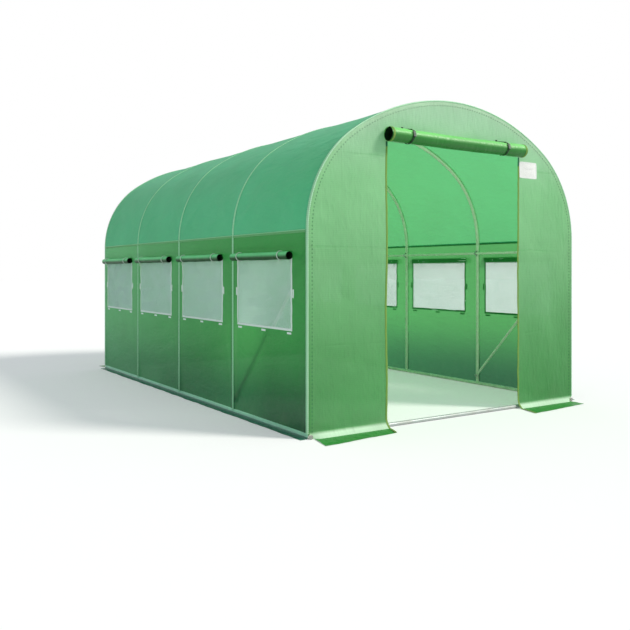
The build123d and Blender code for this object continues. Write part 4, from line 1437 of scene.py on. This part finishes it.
class GREENHOUSE_OT_windows(Maker, Operator):
    """The nets, their tapes and patches, and the rolled flaps with their ties"""

    bl_idname = "greenhouse.windows"
    bl_label = "Windows"

    def wall(self, side, height, y, out=0.0):
        """Points on a side wall by height, lifted as its film lies."""
        return self.outline.place(side * self.outline.wall_run(height), y, out)

    def belly(self, height, y, place):
        """How deep the net hangs inwards: sines across and up the window."""
        w = self.windows
        across = np.clip((y - place) / w.width + 0.5, 0, 1)
        up = np.clip((height - w.bottom) / (w.top - w.bottom), 0, 1)
        deepest = 0.007
        return deepest * np.sin(math.pi * across) * np.sin(math.pi * up)

    def net(self, side, name):
        """Threads both ways across each opening."""
        w, half = self.windows, self.windows.net_thread / 2
        heap = Heap()
        heights = np.arange(w.bottom + w.net_pitch / 2, w.top, w.net_pitch)
        for place in WINDOW_YS:
            left, right = place - w.width / 2, place + w.width / 2
            ys = np.arange(left + w.net_pitch / 2, right, w.net_pitch)
            level = np.meshgrid(heights, np.linspace(left, right, 6), indexing="ij")
            upright = np.meshgrid(ys, np.linspace(w.bottom, w.top, 5), indexing="ij")[::-1]
            for (height, y), inset, across in ((level, 0.0006, UP), (upright, 0.0006 + half, ALONG)):
                middles = self.wall(side, height, y, -inset - self.belly(height, y, place))
                uv = np.stack([y, height], axis=-1).repeat(4, axis=1)
                heap.add(bars(middles, across, (side, 0, 0), half, half), uv)
        piece = self.make(heap, f"nets_{name}", "net", "net", f"window_nets_{name}", weld=False)

    def strip(self, heap, side, start, end, width):
        """A tape sewn flat on the wall between two spots, each a y and a height."""
        thick, gap = 0.0016, 0.018
        length = math.hypot(end[0] - start[0], end[1] - start[1])
        share = np.linspace(0, 1, max(6, round(length / gap)))
        y = start[0] + share * (end[0] - start[0])
        height = start[1] + share * (end[1] - start[1])
        path = self.wall(side, height, y, thick * 0.66)
        across = UP if start[1] == end[1] else ALONG
        heap.add(flat_strip(path, width, thick, across), strip_uv(2 * width, share * length))

    def threads(self, heap, side, start, end, shift):
        """Two rows of stitches on the wall, at both sides of the line between two spots."""
        run = np.array((end[0] - start[0], end[1] - start[1]))
        length = np.linalg.norm(run)
        marks = stitches(np.arange(0.004, length - 0.003, 0.006), 0.0038)
        across = (0, -run[1] / length, run[0] / length)
        for way in (-0.0045, 0.0045):
            y = start[0] + way * shift[0] + marks * run[0] / length
            height = start[1] + way * shift[1] + marks * run[1] / length
            middles = self.wall(side, height, y, 0.0019)
            heap.add(bars(middles, across, (side, 0, 0), *TAPE_STITCH), finish=1)

    def frames(self, side, name):
        """White tape round each window, in three rows at its head, and the patches that hold
        the flap when it is let down."""
        w, band = self.windows, self.windows.tape
        tapes, patches = Heap(), Heap()
        foot, middle = w.bottom - band, (w.bottom + w.top) / 2
        patch, inset = 0.025, 0.023
        head_tape, head_step = 0.0125, 0.012
        for place in WINDOW_YS:
            left, right = place - w.width / 2, place + w.width / 2
            for y in (left - band / 2, right + band / 2):
                self.strip(tapes, side, (y, foot), (y, w.top), band)
                self.threads(tapes, side, (y, foot), (y, w.top), (1, 0))
            z = w.bottom - band / 2
            self.strip(tapes, side, (left, z), (right, z), band)
            self.threads(tapes, side, (left, z), (right, z), (0, 1))
            for row in range(3):
                z = w.top + 0.006 + head_step * row
                self.strip(tapes, side, (left - band, z), (right + band, z), head_tape)
            for y in (left - band - 0.011, right + band + 0.011):
                self.strip(patches, side, (y, middle - patch), (y, middle + patch), 0.014)
            z = foot - 0.0135
            for y in (left + inset, place, right - inset):
                self.strip(patches, side, (y - patch, z), (y + patch, z), 0.012)
        for heap, word in ((tapes, "tapes"), (patches, "patches")):
            self.make(heap, f"{word}_{name}", "tape net", "white_tape", f"window_{word}_{name}")

    def flap(self, side, name):
        """Each flap leaves its header, bends out over the roll and winds up in a spiral, its
        layers slipped past each other at the ends and drawn in under the ties."""
        w, radius = self.windows, self.windows.roll_radius
        axis_x, axis_z = abs(FLAP_LOW.x) - radius, FLAP_AXIS
        wall, half_length = self.outline.half + 0.0022, w.roll_length / 2 - 0.003
        heap, layer = Heap(), 0.0014
        angle, count, reach = spiral(radius, layer, w.turns, WINDOW_STEPS)
        start, end = np.array((wall, axis_z + 0.008)), np.array((axis_x, axis_z + radius))
        pull, lead = start + (0.0004, 0.0155), end + (-0.015, 0.0003)
        bend = np.linspace(0, 1, 9)[:-1, None]
        web = bezier(start, pull, lead, end, bend)
        share = np.linspace(-1, 1, 49)
        sag = 0.003 * (1 - share**2) ** 2 + 0.0025 * np.abs(share) ** 3
        for number, place in enumerate(WINDOW_YS):
            seed = 100 + 10 * number + (0 if side < 0 else 5)
            slip = 0.004 * waves(count, 0 * count, seed, 4, 0.7, 2.0)[:, None]
            y = place + share * (half_length + slip * np.abs(share) ** 6)
            uneven = 1 + 0.022 * waves(np.cos(angle - 0.8)[:, None], y * 9, seed + 1, 6, 0.8, 2.6)
            r = reach[:, None] * (uneven - 0.05 * bells(y - place, (-w.tie_reach, w.tie_reach)))
            x = axis_x - r * np.cos(angle)[:, None]
            z = axis_z - sag + r * np.sin(angle)[:, None]
            web_z = web[:, 1:] + bend**2 * (z[:1] - (axis_z + radius))
            x = np.concatenate([np.broadcast_to(web[:, :1], web_z.shape), x])
            y = np.concatenate([np.broadcast_to(place + share * half_length, web_z.shape), y])
            points = np.stack([side * x, y, np.concatenate([web_z, z])], axis=-1)
            axis = (side * axis_x, place, axis_z)
            cloth = wind(heap, points, y, len(bend), WINDOW_STEPS, axis)
        node, flat = f"window_rolls_{name}", (4 * w.roll_length, cloth)
        piece = self.make(heap, f"flaps_{name}", "window_flap inner", "film_roll", node, solid=False)

    def ties(self, side, name):
        """Cord loops round each flap, with a knot and two tails below."""
        w = self.windows
        axis_x, axis_z = abs(FLAP_LOW.x) - w.roll_radius, FLAP_AXIS
        heap = Heap()
        angle = np.linspace(0, 2 * math.pi, 41)[:-1]
        angle = np.append(angle, angle[:2])
        cord, tail = 0.0028, 0.0015
        r = w.roll_radius + 0.0025
        x = axis_x - r * np.cos(angle) * (1 - 0.02 * np.cos(angle))
        z = axis_z - 0.001 + r * np.sin(angle)
        share = np.linspace(0, 1, 9)
        knob = [(-0.0035, 0.0016), (-0.002, 0.0036), (0.001, 0.0038), (0.003, 0.002)]
        for number, place in enumerate(WINDOW_YS):
            for tie in (-1, 1):
                y0 = place + tie * w.tie_reach
                path = np.stack([side * x, y0 + 0.003 * np.sin(angle + number), z], axis=-1)
                heap.add(tube(path, cord, ALONG, 8))
                knot = np.array((side * (axis_x + 0.3 * r), y0, axis_z - r * 0.96))
                for way in (-1, 1):
                    fall = np.outer(share, (0, way * 0.012, -0.026))
                    curl = np.outer(np.sin(share * 3.1), (side * 0.004, way * 0.004, 0))
                    heap.add(tube(knot + fall + curl, tail - 0.0004 * share, ACROSS, 6))
                heap.add(turned(knot + (0, 0, -0.001), UP, ACROSS, knob, 10))
        self.make(heap, f"flap_ties_{name}", "tie", "tie", f"window_ties_{name}")

    def execute(self, context):
        self.look_up(context)
        for side, name in SIDES:
            self.frames(side, name)
            self.net(side, name)
            self.ties(side, name)
            self.flap(side, name)
        return {"FINISHED"}


class GREENHOUSE_OT_door(Maker, Operator):
    """The rolled door flap, its straps and buckles, and the bound edges of the doorway"""

    bl_idname = "greenhouse.door"
    bl_label = "Door flap"

    def flap(self):
        """The flap leaves the face above the doorway, bends out over the roll and winds up in a
        spiral; its outer turns have slack folds and its ends are a little ragged."""
        door, radius = self.door, self.door.roll_radius
        axis_y, axis_z = DOOR_AXIS_Y, DOOR_AXIS
        half_length, layer = door.roll_length / 2 - 0.014, 0.0012
        angle, count, reach = spiral(radius, layer, door.turns, DOOR_STEPS)
        share = np.linspace(-1, 1, 75)
        slip = 0.003 * waves(count, 0 * count, 211, 4, 0.7, 2.4)[:, None]
        x = share * (half_length + slip * np.abs(share) ** 8) + ROLL_SHIFT
        uneven = 1 + 0.016 * waves(np.cos(angle - 0.8)[:, None], x[:1] * 6, 212, 7, 0.7, 2.6)
        twist = 0.005 * np.sin(angle[:, None] + x[:1] * 26)
        r = reach[:, None] * (uneven + twist - 0.03 * bells(x[:1], self.strap_places()))
        sag = 0.004 * (1 - (share * 1.2) ** 2)
        y = axis_y - r * np.sin(angle - math.pi / 2)[:, None]
        z = axis_z - sag + r * np.cos(angle - math.pi / 2)[:, None]
        face = -self.sizes.length / 2 - 0.001
        start, end = np.array((face, axis_z + 0.016)), np.array((axis_y, axis_z + radius))
        pull, lead = start + (-0.0006, 0.025), end + (0.026, 0.0005)
        bend = np.linspace(0, 1, 11)[:-1, None]
        web = bezier(start, pull, lead, end, bend)
        fade = bend**2
        web_x = np.broadcast_to(share * half_length + ROLL_SHIFT, (len(bend), len(share)))
        lie = face_lie(self.outline, web_x, np.broadcast_to(web[:, 1:], web_x.shape))
        web_y = web[:, :1] - lie * (1 - fade) + fade * (y[:1] - axis_y)
        web_z = web[:, 1:] + fade * (z[:1] - axis_z - radius)
        x = np.concatenate([web_x, x])
        points = np.stack([x, np.concatenate([web_y, y]), np.concatenate([web_z, z])], axis=-1)
        heap = Heap()
        cloth = wind(heap, points, x, len(bend), DOOR_STEPS, (0, axis_y, axis_z))
        piece = self.make(heap, "door_flap", "flap inner", "film_roll", "door_roll", solid=False)

    def strap_places(self):
        return (-self.door.strap_reach + STRAP_SHIFT, self.door.strap_reach + STRAP_SHIFT)

    def straps(self):
        """A webbing loop round the roll, drawn a little sideways, a ribbed buckle at its front
        and a tail up to a sewn anchor on the face."""
        door = self.door
        axis_y, axis_z = DOOR_AXIS_Y, DOOR_AXIS
        heap = Heap()
        radius = door.roll_radius + 0.0022
        drift, tail_wide, tail_thick, tail_run = 0.012, 0.009, 0.0016, 0.08
        anchor_wide, anchor_thick, anchor_up, anchor_down = 0.016, 0.0024, 0.011, 0.009
        buckle_half, buckle_thick, rib_reach, rib = 0.019, 0.0034, 0.015, 0.0019
        turn = np.linspace(0, 2 * math.pi, 49)
        y, z = axis_y - radius * np.sin(turn), axis_z - 0.002 + radius * np.cos(turn)
        share = np.linspace(0, 1, 14)
        rib_half = np.array((0.009, 0, 0))
        arch = np.outer(np.sin(share * math.pi), (0, 0.004, 0.001))
        outward, down = unit(np.array((0, -0.97, 0.24))), np.array((0, -0.24, -0.97))
        bow = np.array([-0.0008, 0.001, 0.0016, 0.002])
        bow = np.outer(np.concatenate([bow, bow[::-1]]), outward)
        for x0, lean in zip(self.strap_places(), (-0.022, -0.03)):
            path = np.stack([x0 + drift * np.cos(turn), y, z], axis=-1)
            heap.add(flat_strip(path, door.strap, 0.0018, ACROSS), strip_uv(0.04, turn * radius))
            start = np.array((x0 + drift, axis_y - 0.01, axis_z + radius - 0.001))
            top = axis_z + 0.05
            lie = float(face_lie(self.outline, x0 + lean, top))
            end = np.array((x0 + lean, -self.sizes.length / 2 - 0.0025 - lie, top))
            tail = start + share[:, None] * (end - start) + arch
            shape = flat_strip(tail, tail_wide, tail_thick, (1, 0, -0.4))
            heap.add(shape, strip_uv(0.03, share * tail_run))
            anchor = end + (0, -0.0006, 0)
            patch = straight(anchor + (0, 0, anchor_up), anchor - (0, 0, anchor_down))
            heap.add(flat_strip(patch, anchor_wide, anchor_thick, ACROSS))
            buckle = np.array((x0 + 0.002, axis_y - radius * 0.97, axis_z + radius * 0.24))
            body = buckle + np.outer(np.linspace(-buckle_half, buckle_half, 8), down) + bow
            heap.add(flat_strip(body, door.strap + 0.005, buckle_thick, ACROSS))
            for shift in np.linspace(-rib_reach, rib_reach, 6):
                middle = buckle + shift * down + buckle_thick * outward
                line = straight(middle - rib_half, middle + rib_half)
                heap.add(tube(line, rib, outward, 8), finish=1)
        self.make(heap, "flap_straps", "strap buckle", "strap", "door_straps")

    def jamb(self, heap, side, toe, shade_above):
        """Folded tape down a jamb, over the foot and along the skirt's edge to its toe, in the
        dark colour of the seams above the given height: painted shade under the rolled door flap."""
        door, half = self.door, self.sizes.length / 2
        overlap, thick, stitch_gap = 0.0015, 0.0034, 0.008
        x0 = side * (door.width / 2 + door.binding / 2 - overlap)
        foot = [0.045, 0.036, 0.028, 0.02, 0.013, 0.008, 0.004, 0.0026]
        z = np.concatenate([steps([door.head, FOOT_RISE], 0.03), foot])
        x = np.full(len(z), x0)
        wall = np.stack([x, -half - face_lie(self.outline, x, z), z], axis=-1)
        share = np.linspace(0, 1, 12)[1:, None]
        ground = wall[-1] + share * (toe + np.array((side * 0.004, 0, 0)) - wall[-1])
        ground[:, 2] += 0.002 * np.sin(share[:, 0] * math.pi)
        path = np.concatenate([wall, ground])
        # Above that height the binding takes the seams' dark green: painted shade under the roll.
        dark = np.concatenate([path[:1], path])[:, 2].repeat(12) > shade_above
        shape = flat_strip(path, door.binding, thick, ACROSS)
        heap.add(shape, strip_uv(0.026, run_along(path)), dark)
        height = door.head - stitches(np.arange(0.006, door.head - 0.07, stitch_gap), 0.005)
        x = np.full(height.shape, x0 + side * 0.003)
        y = -half - 0.0019 - face_lie(self.outline, x, height)
        middles = np.stack([x, y, height], axis=-1)
        heap.add(bars(middles, ACROSS, (0, -1, 0), *JAMB_STITCH), finish=1)

    def bindings(self):
        """The bound jambs, and the tape round both ends of the roll."""
        door = self.door
        jambs, rings = Heap(), Heap()
        # From 1.675 m and 1.665 m up the jambs are painted in the shade under the roll.
        self.jamb(jambs, -1, (-0.605, -1.935, 0.0034), 1.675)
        self.jamb(jambs, 1, (0.525, -1.984, 0.0034), 1.665)
        self.make(jambs, "jamb_bindings", "binding seam", "binding", "door_bindings")
        turn = np.linspace(0, 2 * math.pi, 61)
        radius = door.roll_radius + 0.0016 - 0.0016 * turn / (2 * math.pi)
        y, z = DOOR_AXIS_Y - radius * np.sin(turn), DOOR_AXIS + radius * np.cos(turn) + 0.001
        for side in (-1, 1):
            x = side * (door.roll_length / 2 - 0.0225 - 0.0015 * np.sin(turn + 0.6)) + ROLL_SHIFT
            shape = flat_strip(np.stack([x, y, z], axis=-1), 0.013, 0.0022, ACROSS)
            rings.add(shape, strip_uv(0.026, turn * door.roll_radius))
        self.make(rings, "roll_bindings", "binding", "binding", "door_bindings")

    def execute(self, context):
        self.look_up(context)
        self.bindings()
        self.straps()
        self.flap()
        return {"FINISHED"}


class GREENHOUSE_OT_label(Maker, Operator):
    """The bare label sewn beside the door"""

    bl_idname = "greenhouse.label"
    bl_label = "Label"

    def execute(self, context):
        self.look_up(context)
        low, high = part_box("blank_label")
        middle = np.array(((low.x + high.x) / 2, (low.z + high.z) / 2))
        wide, tall = (high.x - low.x) / 2, (high.z - low.z) / 2
        sides, front, inset = 64, -self.sizes.length / 2, 0.004
        corner_x, corner_z = flat_section(2, 2, sides, 0.16).T
        rings = []
        raised = [(1, 0.0), (1, 0.002), (0.994, 0.0024), (0.96, 0.0024)]
        for scale, lift in raised + [(scale, 0.0022) for scale in (0.95, 0.7, 0.4, 0.1)]:
            x = middle[0] + corner_x * (wide - (1 - scale) * tall)
            z = middle[1] + corner_z * tall * scale
            y = front - face_lie(self.outline, x, z) - lift
            rings.append(np.stack([x, y, z], axis=-1))
        rings = np.array(rings)
        ends = rings.mean(axis=1, keepdims=True).repeat(sides, axis=1)
        uv = np.concatenate([ends[:1], rings, ends[-1:]])[..., [0, 2]]
        heap = Heap().add(loft(rings), uv)
        corners = np.array([(-1, -1), (1, -1), (1, 1), (-1, 1)])
        corners = middle + corners * (wide - inset, tall - inset)
        for a, b in zip(corners, np.roll(corners, -1, axis=0)):
            length = np.linalg.norm(b - a)
            marks = stitches(np.arange(0.004, length - 0.003, 0.005), 0.003)
            spot = a + marks[..., None] * (b - a) / length
            x, z = spot[..., 0], spot[..., 1]
            y = front - face_lie(self.outline, x, z) - 0.0025
            across = (-(b - a)[1] / length, 0, (b - a)[0] / length)
            middles = np.stack([x, y, z], axis=-1)
            heap.add(bars(middles, across, (0, -1, 0), *LABEL_STITCH), finish=1)
        self.make(heap, "plain_label", "label net", "label", "blank_label")
        return {"FINISHED"}


def eye_share(tree):
    """1 for what the camera sees, straight, mirrored or through a sheet, and 0 for the light."""
    seen = put(tree, "ShaderNodeLightPath").outputs
    bent = sums(tree, "ADD", seen["Is Glossy Ray"], seen["Is Transmission Ray"])
    return sums(tree, "ADD", seen["Is Camera Ray"], bent, clamp=True)


class GREENHOUSE_OT_stage(Operator):
    """The pale floor, the light and the camera"""

    bl_idname = "greenhouse.stage"
    bl_label = "Stage"
    bl_options = {"REGISTER", "UNDO"}

    def floor(self, light):
        mesh = bpy.data.meshes.new("studio_floor")
        size = 60
        corners = [(-size, -size, 0), (size, -size, 0), (size, size, 0), (-size, size, 0)]
        mesh.from_pydata(corners, [], [(0, 1, 2, 3)])
        floor = bpy.data.objects.new("studio_floor", mesh)
        bpy.context.scene.collection.objects.link(floor)
        material, tree = fresh("Studio floor")
        strength = sums(tree, "MULTIPLY", eye_share(tree), 0.24)
        matt = put(tree, "ShaderNodeBsdfDiffuse", {"Color": solid(light.floor)}).outputs[0]
        shine = put(tree, "ShaderNodeEmission", {"Color": WHITE, "Strength": strength}).outputs[0]
        shown(material, tree, put(tree, "ShaderNodeAddShader", {0: matt, 1: shine}).outputs[0])
        mesh.materials.append(material)

    def sky(self, scene, light):
        """White to the camera, and pale blue and weaker as the light all round."""
        world = bpy.data.worlds.new("Studio")
        scene.world = world
        world.use_nodes = True
        tree = world.node_tree
        tree.nodes.clear()
        eye = eye_share(tree)
        strength = sums(tree, "MULTIPLY_ADD", eye, 1 - light.sky, light.sky)
        tint = mixed(tree, eye, (0.86, 0.95, 1, 1), WHITE)
        shine = put(tree, "ShaderNodeBackground", {"Color": tint, "Strength": strength})
        put(tree, "ShaderNodeOutputWorld", {"Surface": shine.outputs[0]})

    def lamps(self, scene, light):
        lamp = bpy.data.lights.new("Key", "SUN")
        lamp.energy = light.sun
        lamp.color = (1, 0.97, 0.9)
        lamp.angle = math.radians(14)
        key = bpy.data.objects.new("Key", lamp)
        key.rotation_euler = (math.radians(50), 0, math.radians(44))
        scene.collection.objects.link(key)

    def camera(self, scene):
        view = bpy.data.cameras.new("Camera")
        view.lens = 42.322
        view.sensor_width = 36
        view.shift_y = -0.0699
        eye = bpy.data.objects.new("Camera", view)
        eye.location = (-3.3305, -5.2417, 0.9311)
        eye.rotation_euler = (math.radians(90), 0, math.radians(-33.216))
        scene.collection.objects.link(eye)
        scene.camera = eye

    def execute(self, context):
        scene = context.scene
        scene.view_settings.view_transform = "Standard"
        self.camera(scene)
        self.floor(scene.tunnel_light)
        self.sky(scene, scene.tunnel_light)
        self.lamps(scene, scene.tunnel_light)
        return {"FINISHED"}


OPERATORS = (
    GREENHOUSE_OT_stage,
    GREENHOUSE_OT_tubes,
    GREENHOUSE_OT_cover,
    GREENHOUSE_OT_ends,
    GREENHOUSE_OT_skirts,
    GREENHOUSE_OT_seams,
    GREENHOUSE_OT_windows,
    GREENHOUSE_OT_door,
    GREENHOUSE_OT_label,
)
GROUPS = {
    "tunnel_sizes": TunnelSizes,
    "tunnel_windows": WindowSizes,
    "tunnel_door": DoorSizes,
    "tunnel_colours": Colours,
    "tunnel_film": Film,
    "tunnel_light": StageLight,
}


class GREENHOUSE_PT_sidebar(Panel):
    """Sizes and colours of the greenhouse, and a button for each group of pieces"""

    bl_label = "Polytunnel greenhouse"
    bl_idname = "GREENHOUSE_PT_sidebar"
    bl_space_type = "VIEW_3D"
    bl_region_type = "UI"
    bl_category = "Greenhouse"

    def draw(self, context):
        for name, kind in GROUPS.items():
            box = self.layout.box()
            box.label(text=kind.__doc__)
            for label in kind.__annotations__:
                box.prop(getattr(context.scene, name), label)
        for operator in OPERATORS:
            self.layout.operator(operator.bl_idname)


def register():
    for kind in GROUPS.values():
        bpy.utils.register_class(kind)
    for operator in OPERATORS:
        bpy.utils.register_class(operator)
    bpy.utils.register_class(GREENHOUSE_PT_sidebar)
    for name, kind in GROUPS.items():
        setattr(bpy.types.Scene, name, PointerProperty(type=kind))


def unregister():
    for name in GROUPS:
        delattr(bpy.types.Scene, name)
    bpy.utils.unregister_class(GREENHOUSE_PT_sidebar)
    for operator in reversed(OPERATORS):
        bpy.utils.unregister_class(operator)
    for kind in reversed(list(GROUPS.values())):
        bpy.utils.unregister_class(kind)


def main():
    register()
    bpy.ops.greenhouse.stage()
    bpy.ops.greenhouse.tubes()
    bpy.ops.greenhouse.cover()
    bpy.ops.greenhouse.ends()
    bpy.ops.greenhouse.skirts()
    bpy.ops.greenhouse.seams()
    bpy.ops.greenhouse.windows()
    bpy.ops.greenhouse.door()
    bpy.ops.greenhouse.label()


if __name__ == "__main__":
    main()
